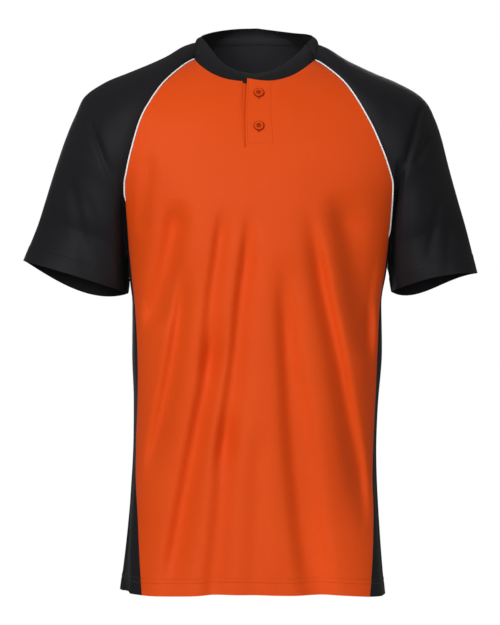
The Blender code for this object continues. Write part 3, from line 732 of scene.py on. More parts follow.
def bezier(start, leave, arrive, end, count):
    t = np.linspace(0, 1, count + 1)[:, None]
    return ((1 - t) ** 3 * start + 3 * t * (1 - t) ** 2 * leave
            + 3 * t * t * (1 - t) * arrive + t ** 3 * end)


def cap_row(station):
    """One section of the right sleeve, from the front seam over the ridge to the back seam."""
    front = front_point(np.array(raglan(station, "front_x")), station)
    back = back_point(np.array(raglan(station, "back_x")), station)
    ridge = np.array([raglan(station, name) for name in ("ridge_x", "ridge_y", "ridge_z")])
    halves = []
    for seam, reach, sign in ((front, "front_reach", -1), (back, "back_reach", 1)):
        climb = (ridge - seam) * (1, 0, 1)
        forward = np.array([0, sign, 0])
        leave = seam + LEAVE_SHARE * climb + raglan(station, reach) * forward
        depth = abs(seam[1] - ridge[1]) + LEAVE_SHARE * raglan(station, reach)
        arrive = ridge + ARRIVE_SHARE * depth * forward
        halves.append(bezier(seam, leave, arrive, ridge, CAP_COLUMNS // 2))
    return np.concatenate([halves[0], halves[1][-2::-1]])


def cuff_angles():
    """Places round the cuff in step with the columns above it, 0 at its outer end."""
    gap = math.radians(UNDERARM_ANGLE)
    return np.concatenate([
        np.linspace(math.pi - gap, -math.pi + gap, CAP_COLUMNS + 1),
        np.linspace(-math.pi + gap, -math.pi - gap, SIDE_COLUMNS + 1)[1:-1],
    ])


def cuff_ring(side):
    """The cuff as a closed ring."""
    cuff = CUFFS[side]
    outer = np.array(cuff["outer"], float)
    inner = np.array(cuff["inner"], float)
    angle = cuff_angles()
    centre = (outer + inner) / 2
    ring = centre + np.outer(np.cos(angle), (outer - inner) / 2)
    for sign, key in ((1, "front"), (-1, "back")):
        share = np.clip(np.sin(angle) * sign, 0, None)
        reach, height, tilt = cuff[key]
        ring[:, 1] += share * (reach - centre[1])
        ring[:, 2] += share ** 2 * (height - centre[2] + tilt * np.cos(angle))
    return ring


def piping_shows(side, stations):
    """How far the piping stands in its seam: 1 where it shows, 0 where it has sunk in."""
    return 1 - smoothstep((stations - PIPING_SINKS_AT[side]) / PIPING_SINKS_OVER)


def sleeve_tube(cap, side, outward, over_ridge):
    """The closed tube from the cap's last row and the underarm down to the cuff."""
    hollow = side_row(ARMPIT_Z, side)[::-1]
    if side == "left":
        hollow = mirrored(hollow)
    underarm = lean(hollow)[1:-1] + np.array([outward * SEAM_GAP, 0, SEAM_GAP / 2])
    top = np.concatenate([cap[-1], underarm])
    straight = cuff_ring(side) - top
    onward = cap[-1] - cap[-2]
    onward *= np.linalg.norm(straight[:CAP_COLUMNS + 1], axis=1, keepdims=True)
    onward /= np.linalg.norm(cap[-1] - cap[-2], axis=1, keepdims=True)
    start = straight.copy()
    start[:CAP_COLUMNS + 1] += (onward - straight[:CAP_COLUMNS + 1]) * over_ridge[:, None]
    t = np.linspace(0, 1, TUBE_ROWS + 1)[:, None, None]
    tube = top + straight * t + (start - straight) * t * (1 - t) ** 2
    amount, power = UNDERARM_HUG[side]
    beside = smoothstep((-np.cos(cuff_angles()) - HUG_FROM) / HUG_OVER)
    tube[..., 0] -= outward * amount * beside * np.sin(math.pi * t[..., 0] ** power)
    return tube


def fold_sleeve(cap, tube, side, outward, over_ridge):
    """Fold the cap and the tube below it as one sheet, but not the underarm."""
    joined = np.concatenate([cap, tube[1:, :CAP_COLUMNS + 1]])
    front = smoothstep((FOLD_FRONT_Y - joined[..., 1]) / FOLD_FRONT_FADE)
    behind = SLEEVE_FOLDS_BEHIND * smoothstep((joined[..., 1] - FOLD_FRONT_Y) / FOLD_FRONT_FADE)
    drawn = fold_depth(joined[..., 0], joined[..., 2], SLEEVE_FOLDS[side]) * (front + behind)
    drawn = drawn + ripple(joined[..., 1] * SLEEVE_RIPPLE_PITCH, joined[..., 2]) * SLEEVE_RIPPLE
    drawn = drawn * np.clip(over_ridge * SLEEVE_FOLDS_SPREAD, 0, 1)
    joined = joined + drawn[..., None] * normals(joined) * outward
    tube[:, :CAP_COLUMNS + 1] = joined[len(cap) - 1:]
    return joined[:len(cap)].copy(), tube


def raise_cuff(tube, outward):
    """The doubled cuff stands a little proud, and dips along its stitches."""
    edge = np.linspace(0, 1, TUBE_ROWS + 1)[:, None]
    outside = -outward * closed_normals(tube)
    begins = CUFF_STITCH_SHARES[0] - CUFF_STEP_BEFORE
    proud = HEM_PROUD * smoothstep((edge - begins) / CUFF_STEP_OVER)
    for share in CUFF_STITCH_SHARES:
        proud = proud - CUFF_STITCH_DIP * np.exp(-((edge - share) / CUFF_STITCH_REACH) ** 2)
    return tube + proud[..., None] * outside


def sleeve_grids(side):
    """The open cap above the armpit and the closed tube below it."""
    stations = yoke_stations()[::-1]
    cap = np.array([cap_row(station) for station in stations])
    if side == "left":
        cap = mirrored(cap)
    outward = 1 if side == "right" else -1
    over_ridge = np.sin(np.linspace(0, math.pi, CAP_COLUMNS + 1))
    cap = lean(cap, over_ridge * smoothstep(stations / RIDGE_LEAN_STATIONS)[:, None])
    tube = sleeve_tube(cap, side, outward, over_ridge)
    cap, tube = fold_sleeve(cap, tube, side, outward, over_ridge)
    cap = draw_back(cap)
    tube = draw_back(raise_cuff(tube, outward))
    for edge in ("first_column", "last_column"):
        tuck(cap, edge, SEAM_TUCK, outward)
    shows = piping_shows(side, stations)[:, None]
    inset(cap, "first_column", SEAM_GAP / 2 + PIPING_SIDE * shows)
    inset(cap, "last_column", SEAM_GAP / 2)
    tube[0, :CAP_COLUMNS + 1] = cap[-1]
    return cap, tube, outward


def normals(grid):
    """Unit normals of a grid of points, outward for rows that run up."""
    across = np.gradient(grid, axis=1)
    up = np.gradient(grid, axis=0)
    normal = np.cross(across, up)
    return normal / np.linalg.norm(normal, axis=-1, keepdims=True)


def closed_normals(grid):
    """Unit normals of a grid whose last column is followed by its first."""
    wrapped = np.concatenate([grid[:, -1:], grid, grid[:, :1]], axis=1)
    return normals(wrapped)[:, 1:-1]


def border(grid, edge):
    """A view of a grid with the named border as its first line."""
    return {
        "first_row": grid,
        "last_row": grid[::-1],
        "first_column": grid.swapaxes(0, 1),
        "last_column": grid.swapaxes(0, 1)[::-1],
    }[edge]


def inset(grid, edge, amount):
    """Draw one border of a grid back into its panel, square to the border."""
    view = border(grid, edge)
    along = np.gradient(view[0], axis=0)
    along /= np.linalg.norm(along, axis=-1, keepdims=True)
    inward = view[1] - view[0]
    inward -= (inward * along).sum(axis=-1, keepdims=True) * along
    inward /= np.linalg.norm(inward, axis=-1, keepdims=True)
    view[0] += inward * amount


def tuck(grid, edge, depth, facing=-1):
    """Roll the cloth in along a seam, most at the border itself."""
    outside = border(normals(grid), edge)
    view = border(grid, edge)
    for line, share in enumerate(TUCK_SHARES):
        view[line] += outside[line] * depth * share * facing


def close_seams(grid):
    """Roll in both side borders of a panel, and draw them back to leave the gap of a seam."""
    for edge in ("first_column", "last_column"):
        tuck(grid, edge, SEAM_TUCK)
        inset(grid, edge, SEAM_GAP / 2)


def strip_grid(left_at, right_x, lift):
    """A strip of the placket, made from the front's own points, with its free corner lifted."""
    stations = yoke_stations()
    stations = stations[stations <= PLACKET_STATION + STATION_TOLERANCE]
    rows = []
    for station in stations:
        x = np.linspace(left_at(station), right_x, PLACKET_COLUMNS + 1)
        row = front_point(x, station)
        raised = np.clip((right_x - x) / (right_x - left_at(station)), 0, 1) ** FLAP_LIFT_POWER
        row[:, 2] += lift * raised * smoothstep(1 - station / FLAP_LIFT_STATIONS)
        rows.append(row)
    return lean(rows)


def under_grid():
    """The lower strip, which slopes in to the right under the free edge."""
    grid = strip_grid(lambda station: UNDER_LEFT, UNDER_RIGHT, 0.0)
    x = np.linspace(UNDER_LEFT, UNDER_RIGHT, PLACKET_COLUMNS + 1)
    grid[..., 1] += UNDER_STARTS + UNDER_SLOPE * np.clip(x - SLIT_LEFT_BOTTOM, 0, UNDER_SLOPES_FOR)
    return grid


def soften_slit(front, box_row):
    """Turn the front in along the left edge of the slit."""
    opens = smoothstep(np.arange(len(front) - box_row) / SLIT_TURN_ROWS)[:, None, None]
    turned = np.array(SLIT_TURN)[None, :, None]
    columns = slice(FRONT_LEFT_COLUMNS + 1 - len(SLIT_TURN), FRONT_LEFT_COLUMNS + 1)
    front[box_row:, columns] -= normals(front)[box_row:, columns] * turned * opens


def free_edge(station):
    t = (station / PLACKET_STATION) ** FREE_EDGE_POWER
    return FREE_EDGE_TOP + (FREE_EDGE_BOTTOM - FREE_EDGE_TOP) * t


def neck_loop(row=0.0):
    """A line round the neck, from the free edge by the right shoulder and back to the left.

    Its stations run on: 4 is the middle of the back and 8 the middle of the front again.
    """
    edge = raglan(row, "front_x")
    columns = front_columns(edge, edge, row)
    flap = np.linspace(FREE_EDGE_TOP, PLACKET_RIGHT, PLACKET_COLUMNS + 1)
    beneath = np.linspace(SLIT_LEFT_TOP, UNDER_RIGHT, PLACKET_COLUMNS + 1)
    right_front = front_point(np.append(flap, columns[-FRONT_RIGHT_COLUMNS:]), row)
    raised = np.clip((PLACKET_RIGHT - right_front[:, 0]) / (PLACKET_RIGHT - FREE_EDGE_TOP), 0, 1)
    right_front[:, 2] += FLAP_LIFT * raised ** FLAP_LIFT_POWER
    left_front = front_point(np.append(columns[:FRONT_LEFT_COLUMNS], beneath), row)
    shoulder = cap_row(row)
    edge = raglan(row, "back_x")
    back = back_point(spread(edge, -edge, edge, 2 * COLLAR_BACK_STEPS), row)
    parts = [right_front, shoulder[1:], back[1:], mirrored(shoulder)[::-1][1:], left_front[1:]]
    stations = [
        right_front[:, 0] / raglan(0, "front_x"),
        np.linspace(1, 3, CAP_COLUMNS + 1)[1:],
        np.linspace(3, 5, 2 * COLLAR_BACK_STEPS + 1)[1:],
        np.linspace(5, 7, CAP_COLUMNS + 1)[1:],
        8 + left_front[1:, 0] / raglan(0, "front_x"),
    ]
    return np.concatenate(parts), np.concatenate(stations)


def collar_grid(drawn_in=COLLAR_GAP):
    bottom, stations = neck_loop()
    folded = np.where(stations > 4, 8 - stations, stations)
    side = np.where(stations > 4, -1.0, 1.0)
    side = side * np.where(folded < 0, -1.0, 1.0)
    folded = np.abs(folded)
    top = np.stack([column(COLLAR_TOP, 0, key, folded) for key in (1, 2, 3)], axis=-1)
    top[:, 2] = np.where(side < 0, column(COLLAR_TOP, 0, 4, folded), top[:, 2])
    top[:, 0] *= side
    length = np.concatenate([[0], np.cumsum(np.linalg.norm(np.diff(bottom, axis=0), axis=1))])
    tip = COLLAR_TIP_WIDTH + (1 - COLLAR_TIP_WIDTH) * smoothstep(length / COLLAR_TIP_LENGTH)
    top = bottom + (top - bottom) * tip[:, None]
    t = np.linspace(0, 1, COLLAR_ROWS + 1)[:, None, None]
    grid = bottom + (top - bottom) * t
    outward = normals(grid)
    bow = COLLAR_BOW * np.sin(math.pi * t) * tip[:, None]
    under_from = length[-1] - COLLAR_UNDER_LENGTH
    grid = grid + outward * bow
    grid[..., 1] += COLLAR_UNDER_DEPTH * smoothstep((length - under_from) / COLLAR_UNDER_STEP)
    grid = lean(grid)
    if drawn_in:
        inset(grid, "first_row", drawn_in)
    return grid


def cloth_lengths(grid, closed=False):
    """Places on the flat cloth, in metres: along the rows, and up the columns."""
    looped = np.concatenate([grid, grid[:, :1]], axis=1) if closed else grid
    steps = np.linalg.norm(np.diff(looped, axis=1), axis=2)
    across = np.concatenate([np.zeros((len(grid), 1)), np.cumsum(steps, axis=1)], axis=1)
    across -= across.mean(axis=1, keepdims=True)
    climb = np.linalg.norm(np.diff(looped, axis=0), axis=2)
    up = np.concatenate([np.zeros((1, looped.shape[1])), np.cumsum(climb, axis=0)], axis=0)
    return across * MM, up * MM


def grid_faces(rows, columns, index, closed=False, left_out=None):
    """Corner lists for a grid: (row, column) pairs turned to vertex numbers by index."""
    faces = []
    corners = []
    last = columns if closed else columns - 1
    for row in range(rows - 1):
        for place in range(last):
            if left_out and left_out(row, place):
                continue
            after = place + 1
            quad = ((row, place), (row, after), (row + 1, after), (row + 1, place))
            faces.append([index(r, c % columns) for r, c in quad])
            corners.append(quad)
    return faces, corners


def link_object(name, data):
    made = bpy.data.objects.new(name, data)
    bpy.context.scene.collection.objects.link(made)
    return made


def mesh_object(name, verts, faces, material):
    """A smooth mesh from points in millimetres."""
    mesh = bpy.data.meshes.new(name)
    mesh.from_pydata([tuple(v) for v in np.asarray(verts) * MM], [], faces)
    mesh.shade_smooth()
    mesh.materials.append(material)
    return link_object(name, mesh)


def cord_object(name, paths, radius, detail, material, capped=True):
    """Round cords along paths of points in millimetres."""
    curve = bpy.data.curves.new(name, "CURVE")
    curve.dimensions = "3D"
    curve.bevel_depth = radius * MM
    curve.bevel_resolution = detail
    curve.use_fill_caps = capped
    for path in paths:
        spline = curve.splines.new("POLY")
        spline.points.add(len(path) - 1)
        for point, place in zip(spline.points, path):
            point.co = (*(Vector(place) * MM), 1.0)
    curve.materials.append(material)
    return link_object(name, curve)


def cloth_object(name, verts, faces, uvs, material, flip=False):
    """Cloth with a wall on its inner side; only its borders are sharp."""
    if flip:
        faces = [face[::-1] for face in faces]
        uvs = [uv[::-1] for uv in uvs]
    made = mesh_object(name, verts, faces, material)
    layer = made.data.uv_layers.new(name="cloth")
    layer.data.foreach_set("uv", np.array(uvs, dtype=np.float32).reshape(-1))
    work = bmesh.new()
    work.from_mesh(made.data)
    for edge in work.edges:
        edge.smooth = not edge.is_boundary
    loose = [vert for vert in work.verts if not vert.link_faces]
    bmesh.ops.delete(work, geom=loose, context="VERTS")
    work.to_mesh(made.data)
    work.free()
    wall = made.modifiers.new("wall", "SOLIDIFY")
    wall.thickness = WALL * MM
    wall.offset = -1.0
    return made


def attach(piece, node=None):
    """Hang a piece on the body it rides on, and hide the construction part of the node it stands for.
    """
    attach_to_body(piece, HERE)
    if node:
        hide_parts(node)


def panel(name, grid, material, left_out=None, flip=False):
    rows, columns = grid.shape[:2]
    faces, corners = grid_faces(rows, columns, lambda r, c: r * columns + c, left_out=left_out)
    across, up = cloth_lengths(grid)
    uvs = [[(across[r, c], up[r, c]) for r, c in quad] for quad in corners]
    return cloth_object(name, grid.reshape(-1, 3), faces, uvs, material, flip)


def inner_piece(name, grid, material, flip=False):
    """A thin piece that is sewn in on the inside."""
    made = panel(name, grid, material, flip=flip)
    made.modifiers["wall"].thickness = ALLOWANCE_WALL * MM
    attach(made)
    return made


def sleeve(name, side, cap, tube, material):
    cap_rows, cap_columns = cap.shape[:2]
    ring = tube.shape[1]
    start = cap_rows * cap_columns
    last_cap = (cap_rows - 1) * cap_columns

    def tube_index(row, place):
        if row == 0:
            return last_cap + place if place < cap_columns else start + place - cap_columns
        return start + ring - cap_columns + (row - 1) * ring + place

    verts = np.concatenate([cap.reshape(-1, 3), tube[0, cap_columns:], tube[1:].reshape(-1, 3)])
    faces, corners = grid_faces(cap_rows, cap_columns, lambda r, c: r * cap_columns + c)
    across, up = cloth_lengths(cap)
    uvs = [[(across[r, c], -up[r, c]) for r, c in quad] for quad in corners]
    more, corners = grid_faces(len(tube), ring, tube_index, closed=True)
    tube_across, tube_up = cloth_lengths(tube, closed=True)
    tube_across = tube_across - tube_across[0, 0] + across[-1, 0]
    base = up[-1].mean()
    uvs += [[(tube_across[r, c], -base - tube_up[r, c]) for r, c in quad] for quad in corners]
    return cloth_object(name, verts, faces + more, uvs, material, flip=(side == "right"))


def inner_band(grid, outside, edge, reach):
    """Lines inside a panel, from its border to a reach within it, a little below its outside."""
    lines = border(grid - outside * ALLOWANCE_DEPTH, edge)[:ALLOWANCE_LINES]
    steps = np.linalg.norm(np.diff(lines, axis=0), axis=-1)
    lengths = np.concatenate([np.zeros((1, lines.shape[1])), np.cumsum(steps, axis=0)])
    band = np.empty((len(reach), lines.shape[1], 3))
    for place in range(lines.shape[1]):
        for key in range(3):
            band[:, place, key] = np.interp(reach, lengths[:, place], lines[:, place, key])
    return band


def make_allowances(grids, sleeves, black):
    """The overlocked allowances inside the garment, by the panel that carries them.

    Each is pressed under its carrier and reaches just past the seam under the next panel.
    """
    names = ("front", "back", "left", "right")
    faced = {name: normals(grids[name]) for name in names}
    carried = {name: [] for name in ("left", "right", "sleeve_left", "sleeve_right")}
    wide = np.linspace(0, ALLOWANCE_WIDTH, ALLOWANCE_ROWS)
    narrow = np.linspace(0, ALLOWANCE_PAST, 3)[1:]
    upper = slice(YOKE_START, None)
    lower = slice(0, YOKE_START + 1)
    for side in ("left", "right"):
        cap = sleeves[side][0]
        caps = (cap[::-1], normals(cap)[::-1] * (-1 if side == "right" else 1))
        sides = (grids[side], faced[side])
        near, far = "first_column", "last_column"
        if side == "right":
            near, far = far, near
        for carrier, seam, panel_name, own, own_edge, rows, edge in (
                ("sleeve_" + side, "raglan", "front", caps, "first_column", upper, near),
                ("sleeve_" + side, "raglan", "back", caps, "last_column", upper, far),
                (side, "side", "front", sides, far, lower, near),
                (side, "side", "back", sides, near, lower, far)):
            inside = inner_band(*own, own_edge, wide)
            past = inner_band(grids[panel_name][rows], faced[panel_name][rows], edge, narrow)
            band = np.concatenate([past[::-1], inside])
            flip = (side == "left") == (panel_name == "back")
            name = f"allowance_{panel_name}_{seam}_{side}"
            carried[carrier].append(inner_piece(name, band, black, flip))
    return carried


def neck_seam(material):
    """The tape inside the neck seam, from the collar down over the tops of the panels."""
    lines = [lean(neck_loop(station)[0]) for station in NECK_TAPE_STATIONS]
    lines.append(collar_grid(drawn_in=0.0)[NECK_TAPE_COLLAR_ROW])
    band = np.array(lines)
    return inner_piece("neck_tape", band - NECK_TAPE_DEPTH * normals(band), material)


def dress(piece, node, carried=()):
    """Hang a piece on the body and hide the construction part of the node it stands for."""
    attach(piece, node)


def along_path(path, facing):
    """Evenly spaced places on a path, with the direction along it and away from the cloth."""
    steps = np.linalg.norm(np.diff(path, axis=0), axis=1)
    length = np.concatenate([[0], np.cumsum(steps)])
    places = np.arange(STITCH_PITCH / 2, length[-1], STITCH_PITCH)
    centre, ahead, behind = (
        np.stack([np.interp(places + shift, length, path[:, k]) for k in range(3)], axis=-1)
        for shift in (0.0, 0.5, -0.5))
    out = np.stack([np.interp(places, length, facing[:, k]) for k in range(3)], axis=-1)
    run = ahead - behind
    run /= np.linalg.norm(run, axis=1, keepdims=True)
    out -= (out * run).sum(axis=1, keepdims=True) * run
    out /= np.linalg.norm(out, axis=1, keepdims=True)
    return centre, run, out


def stitch_mesh(name, runs, material):
    """Many stitches in one mesh, each a short thread whose ends dip into the cloth."""
    verts = []
    faces = []
    for path, facing in runs:
        for centre, run, out in zip(*along_path(path, facing)):
            side = np.cross(run, out)
            first = len(verts)
            for along, rise in STITCH_SECTIONS:
                ring = centre + run * along * STITCH_LENGTH + out * rise * THREAD * 2
                for k in range(THREAD_SIDES):
                    angle = 2 * math.pi * k / THREAD_SIDES
                    flat = THREAD_FLATNESS * math.sin(angle) * out
                    verts.append(ring + THREAD * (math.cos(angle) * side + flat))
            last = first + (len(STITCH_SECTIONS) - 1) * THREAD_SIDES
            for start in range(first, last, THREAD_SIDES):
                for k in range(THREAD_SIDES):
                    a = start + k
                    b = start + (k + 1) % THREAD_SIDES
                    faces.append((a, a + THREAD_SIDES, b + THREAD_SIDES, b))
            faces.append([first + k for k in range(THREAD_SIDES)])
            faces.append([last + k for k in range(THREAD_SIDES)][::-1])
    return mesh_object(name, verts, faces, material)


def row_at_height(grid, z):
    """The line across a panel at a height, between its two nearest rows."""
    heights = body_heights()
    row = int(np.clip(np.searchsorted(heights, z) - 1, 0, len(heights) - 2))
    t = (z - heights[row]) / (heights[row + 1] - heights[row])
    outside = normals(grid[max(row - 1, 0):row + 3])
    return grid[row] * (1 - t) + grid[row + 1] * t, outside[1 if row else 0]


def new_material(name, settings):
    """A node material with some sockets of its shader set; gives its tree and shader too."""
    material = bpy.data.materials.new(name)
    material.use_nodes = True
    shader = material.node_tree.nodes["Principled BSDF"]
    for socket, value in settings.items():
        shader.inputs[socket].default_value = value
    return material, material.node_tree, shader


def math_node(tree, operation, first, second=None):
    node = tree.nodes.new("ShaderNodeMath")
    node.operation = operation
    for socket, value in zip(node.inputs, (first, second)):
        if value is None:
            continue
        if hasattr(value, "links"):
            tree.links.new(value, socket)
        else:
            socket.default_value = value
    return node.outputs[0]


def noise_node(tree, place, scale, detail):
    node = tree.nodes.new("ShaderNodeTexNoise")
    node.inputs["Scale"].default_value = scale
    node.inputs["Detail"].default_value = detail
    tree.links.new(place, node.inputs["Vector"])
    return node.outputs["Fac"]


def ramp_node(tree, value, dark, light, begins=0.0, ends=1.0):
    """A colour between a dark and a light one, by a value."""
    ramp = tree.nodes.new("ShaderNodeValToRGB")
    for stop, place, colour in zip(ramp.color_ramp.elements, (begins, ends), (dark, light)):
        stop.position = place
        stop.color = (*colour, 1)
    tree.links.new(value, ramp.inputs["Fac"])
    return ramp.outputs["Color"]


def add_relief(tree, shader, height, strength, distance):
    raised = tree.nodes.new("ShaderNodeBump")
    raised.inputs["Strength"].default_value = strength
    raised.inputs["Distance"].default_value = distance
    tree.links.new(height, raised.inputs["Height"])
    tree.links.new(raised.outputs[0], shader.inputs["Normal"])


def object_place(tree):
    return tree.nodes.new("ShaderNodeTexCoord").outputs["Object"]


def knit(name, dark, light, roughness, specular, wale, course, bump):
    """A smooth jersey knit: fine ribs and rows, with slight unevenness in its colour."""
    material, tree, shader = new_material(name, {
        "Roughness": roughness, "Sheen Weight": KNIT_SHEEN,
        "Sheen Roughness": KNIT_SHEEN_ROUGHNESS, "Specular IOR Level": specular})
    place = tree.nodes.new("ShaderNodeUVMap")
    place.uv_map = "cloth"
    split = tree.nodes.new("ShaderNodeSeparateXYZ")
    tree.links.new(place.outputs["UV"], split.inputs[0])
    turn = math_node(tree, "MULTIPLY", split.outputs["X"], 2 * math.pi / (wale * MM))
    ribs = math_node(tree, "SINE", turn)
    rise = math_node(tree, "MULTIPLY", split.outputs["Y"], 2 * math.pi / (course * MM))
    shift = math_node(tree, "ABSOLUTE", ribs)
    loops = math_node(tree, "SINE", math_node(tree, "ADD", rise, shift))
    height = math_node(tree, "ADD", math_node(tree, "MULTIPLY", ribs, RIB_SHARE),
                       math_node(tree, "MULTIPLY", loops, LOOP_SHARE))
    add_relief(tree, shader, height, bump, KNIT_RELIEF)
    spot = object_place(tree)
    cloud = noise_node(tree, spot, CLOUD_SCALE, detail=4.0)
    fleck = noise_node(tree, spot, FLECK_SCALE, detail=2.0)
    blend = math_node(tree, "ADD", math_node(tree, "MULTIPLY", cloud, CLOUD_SHARE),
                      math_node(tree, "MULTIPLY", fleck, FLECK_SHARE))
    tree.links.new(ramp_node(tree, blend, dark, light, 0.3, 0.7), shader.inputs["Base Color"])
    return material


def twisted_cord(name, dark, light, roughness, scale, specular):
    """Piping cord or sewing thread, with fine slanting strands."""
    material, tree, shader = new_material(
        name, {"Roughness": roughness, "Specular IOR Level": specular})
    strands = tree.nodes.new("ShaderNodeTexWave")
    strands.wave_type = "BANDS"
    strands.bands_direction = "DIAGONAL"
    strands.inputs["Scale"].default_value = scale
    strands.inputs["Distortion"].default_value = CORD_TWIST
    tree.links.new(object_place(tree), strands.inputs["Vector"])
    value = strands.outputs["Fac"]
    tree.links.new(ramp_node(tree, value, dark, light), shader.inputs["Base Color"])
    add_relief(tree, shader, value, CORD_BUMP, CORD_RELIEF)
    return material


def button_resin(name):
    """Dyed resin: satin and faintly clouded, darkened by painted shade in its dish and round its edge
    where the mesh says so.
    """
    material, tree, shader = new_material(name, {"Specular IOR Level": RESIN_SPECULAR})
    cloud = noise_node(tree, object_place(tree), RESIN_CLOUD, detail=3.0)
    # Painted shade: the resin colour darkens in the button's dish and round its edge, by the share
    # stored on the mesh
    share = tree.nodes.new("ShaderNodeAttribute")
    share.attribute_name = "painted_shade"
    painted_shade_mix = tree.nodes.new("ShaderNodeMixRGB")
    painted_shade_mix.inputs["Color2"].default_value = (*RESIN_PAINTED_SHADE, 1)
    tree.links.new(share.outputs["Fac"], painted_shade_mix.inputs["Fac"])
    tree.links.new(ramp_node(tree, cloud, *RESIN, 0.3, 0.75), painted_shade_mix.inputs["Color1"])
    tree.links.new(painted_shade_mix.outputs["Color"], shader.inputs["Base Color"])
    wear = tree.nodes.new("ShaderNodeMapRange")
    wear.inputs["To Min"].default_value, wear.inputs["To Max"].default_value = RESIN_ROUGHNESS
    tree.links.new(cloud, wear.inputs["Value"])
    tree.links.new(wear.outputs[0], shader.inputs["Roughness"])
    return material


def make_piping(side, material):
    """White piping in the front raglan seam: it stands proud, then sinks between the cloths."""
    grid = front_grid()[YOKE_START:]
    edge = -1 if side == "right" else 0
    shows = piping_shows(side, yoke_stations())[:, None]
    proud = PIPING_PROUD * shows - PIPING_SINK * (1 - shows)
    seam = grid[:, edge] + normals(grid)[:, edge] * proud
    end = seam[-1] - seam[-2]
    seam[-1] -= end / np.linalg.norm(end) * PIPING_END_GAP
    made = cord_object("piping_cord_" + side, [seam], PIPING_RADIUS, 4, material)
    attach(made, "piping_" + side)


def button_seat(name, surface):
    """Where a button lies on the upper strip, and which way it faces."""
    target = np.array([BUTTON_X, BUTTON_HEIGHTS[name]])
    aside = np.linalg.norm(surface[..., [0, 2]] - target, axis=-1)
    row, place = np.unravel_index(np.argmin(aside), aside.shape)
    facing = normals(surface)[row, place]
    seat = surface[row, place].copy()
    offset = np.array([target[0] - seat[0], 0.0, target[1] - seat[2]])
    offset[1] = -(offset[0] * facing[0] + offset[2] * facing[2]) / facing[1]
    return seat + offset + facing * BUTTON_SEAT, facing


def button_profile():
    """Half of a button's section, from the dished front over the rim and down the bevelled side."""
    top = BUTTON_THICKNESS
    floor = top - BUTTON_DISH
    bevel = BUTTON_RADIUS - BUTTON_BEVEL
    inner = bevel - BUTTON_RIM
    profile = [(radius, floor + height) for radius, height in BUTTON_FLOOR]
    for step in range(SLOPE_STEPS + 1):
        t = step / SLOPE_STEPS
        profile.append((inner - BUTTON_SLOPE + BUTTON_SLOPE * t, floor + BUTTON_DISH * smoothstep(t)))
    profile.append((inner + BUTTON_SLOPE, top))
    for step in range(BEVEL_STEPS + 1):
        angle = math.pi / 2 * (1 - step / BEVEL_STEPS)
        profile.append((bevel + BUTTON_BEVEL * math.cos(angle),
                        BUTTON_EDGE + (top - BUTTON_EDGE) * math.sin(angle)))
    profile += [(BUTTON_RADIUS - way_in, height) for way_in, height in BUTTON_FOOT]
    profile.append((0.0, 0.0))
    return profile


def turned_resin(name, material):
    """A button lying at the origin: its section turned round, drilled, and given a share of painted
    shade by radius.
    """
    mesh = bpy.data.meshes.new(name)
    work = bmesh.new()
    verts = [work.verts.new((x * MM, 0, z * MM)) for x, z in button_profile()]
    for upper, lower in zip(verts, verts[1:]):
        work.edges.new((upper, lower))
    work.to_mesh(mesh)
    work.free()
    mesh.materials.append(material)
    button = link_object(name, mesh)
    turn = button.modifiers.new("turn", "SCREW")
    turn.steps = BUTTON_STEPS
    turn.render_steps = BUTTON_STEPS
    turn.use_merge_vertices = True
    turn.merge_threshold = BUTTON_MERGE
    cutters = []
    for number in range(HOLES):
        angle = math.radians(45 + 90 * number)
        bpy.ops.mesh.primitive_cylinder_add(vertices=HOLE_SIDES, radius=HOLE_RADIUS * MM,
                                            depth=BUTTON_THICKNESS * 3 * MM)
        hole = bpy.context.object
        hole.location = (HOLE_SPREAD * math.cos(angle) * MM, HOLE_SPREAD * math.sin(angle) * MM, 0)
        cut = button.modifiers.new(f"hole_{number}", "BOOLEAN")
        cut.object = hole
        cut.operation = "DIFFERENCE"
        cutters.append(hole)
    bpy.context.view_layer.update()
    graph = bpy.context.evaluated_depsgraph_get()
    solid = bpy.data.meshes.new_from_object(button.evaluated_get(graph))
    button.modifiers.clear()
    button.data = solid
    solid.name = name
    solid.shade_smooth()
    solid.set_sharp_from_angle(angle=math.radians(BUTTON_SHARP))
    for hole in cutters:
        bpy.data.objects.remove(hole)
    # Painted shade: each point gets a share by its radius, most round the edge and on the dish's wall
    radii = [math.hypot(vert.co.x, vert.co.y) / MM for vert in solid.vertices]
    painted_shade = solid.attributes.new("painted_shade", "FLOAT", "POINT")
    painted_shade.data.foreach_set("value", np.interp(radii, BUTTON_PAINTED_SHADE[:, 0], BUTTON_PAINTED_SHADE[:, 1]))
    return button


def make_button(name, surface, resin, thread_material):
    seat, facing = button_seat(name, surface)
    button = turned_resin(name + "_resin", resin)
    turned = Vector(facing).to_track_quat("Z", "Y").to_matrix().to_4x4()
    button.data.transform(Matrix.Translation(Vector(seat) * MM) @ turned)
    attach(button, name)

    spread_out = HOLE_SPREAD * math.sqrt(0.5)
    height = BUTTON_THICKNESS - BUTTON_DISH + STRAND_RISE
    runs = []
    for row in (-1, 1):
        for strand in STRANDS:
            path = []
            for share in np.linspace(-1, 1, STRAND_POINTS):
                dive = STRAND_DIVE * abs(share) ** STRAND_DIVE_POWER
                local = Vector((share * (spread_out + STRAND_OVERLAP), row * spread_out + strand,
                                height + STRAND_BOW * (1 - share ** 2) - dive))
                path.append(np.array(turned @ local) + seat)
            runs.append(path)
    attach(cord_object(name + "_thread", runs, STRAND_RADIUS, 2, thread_material))


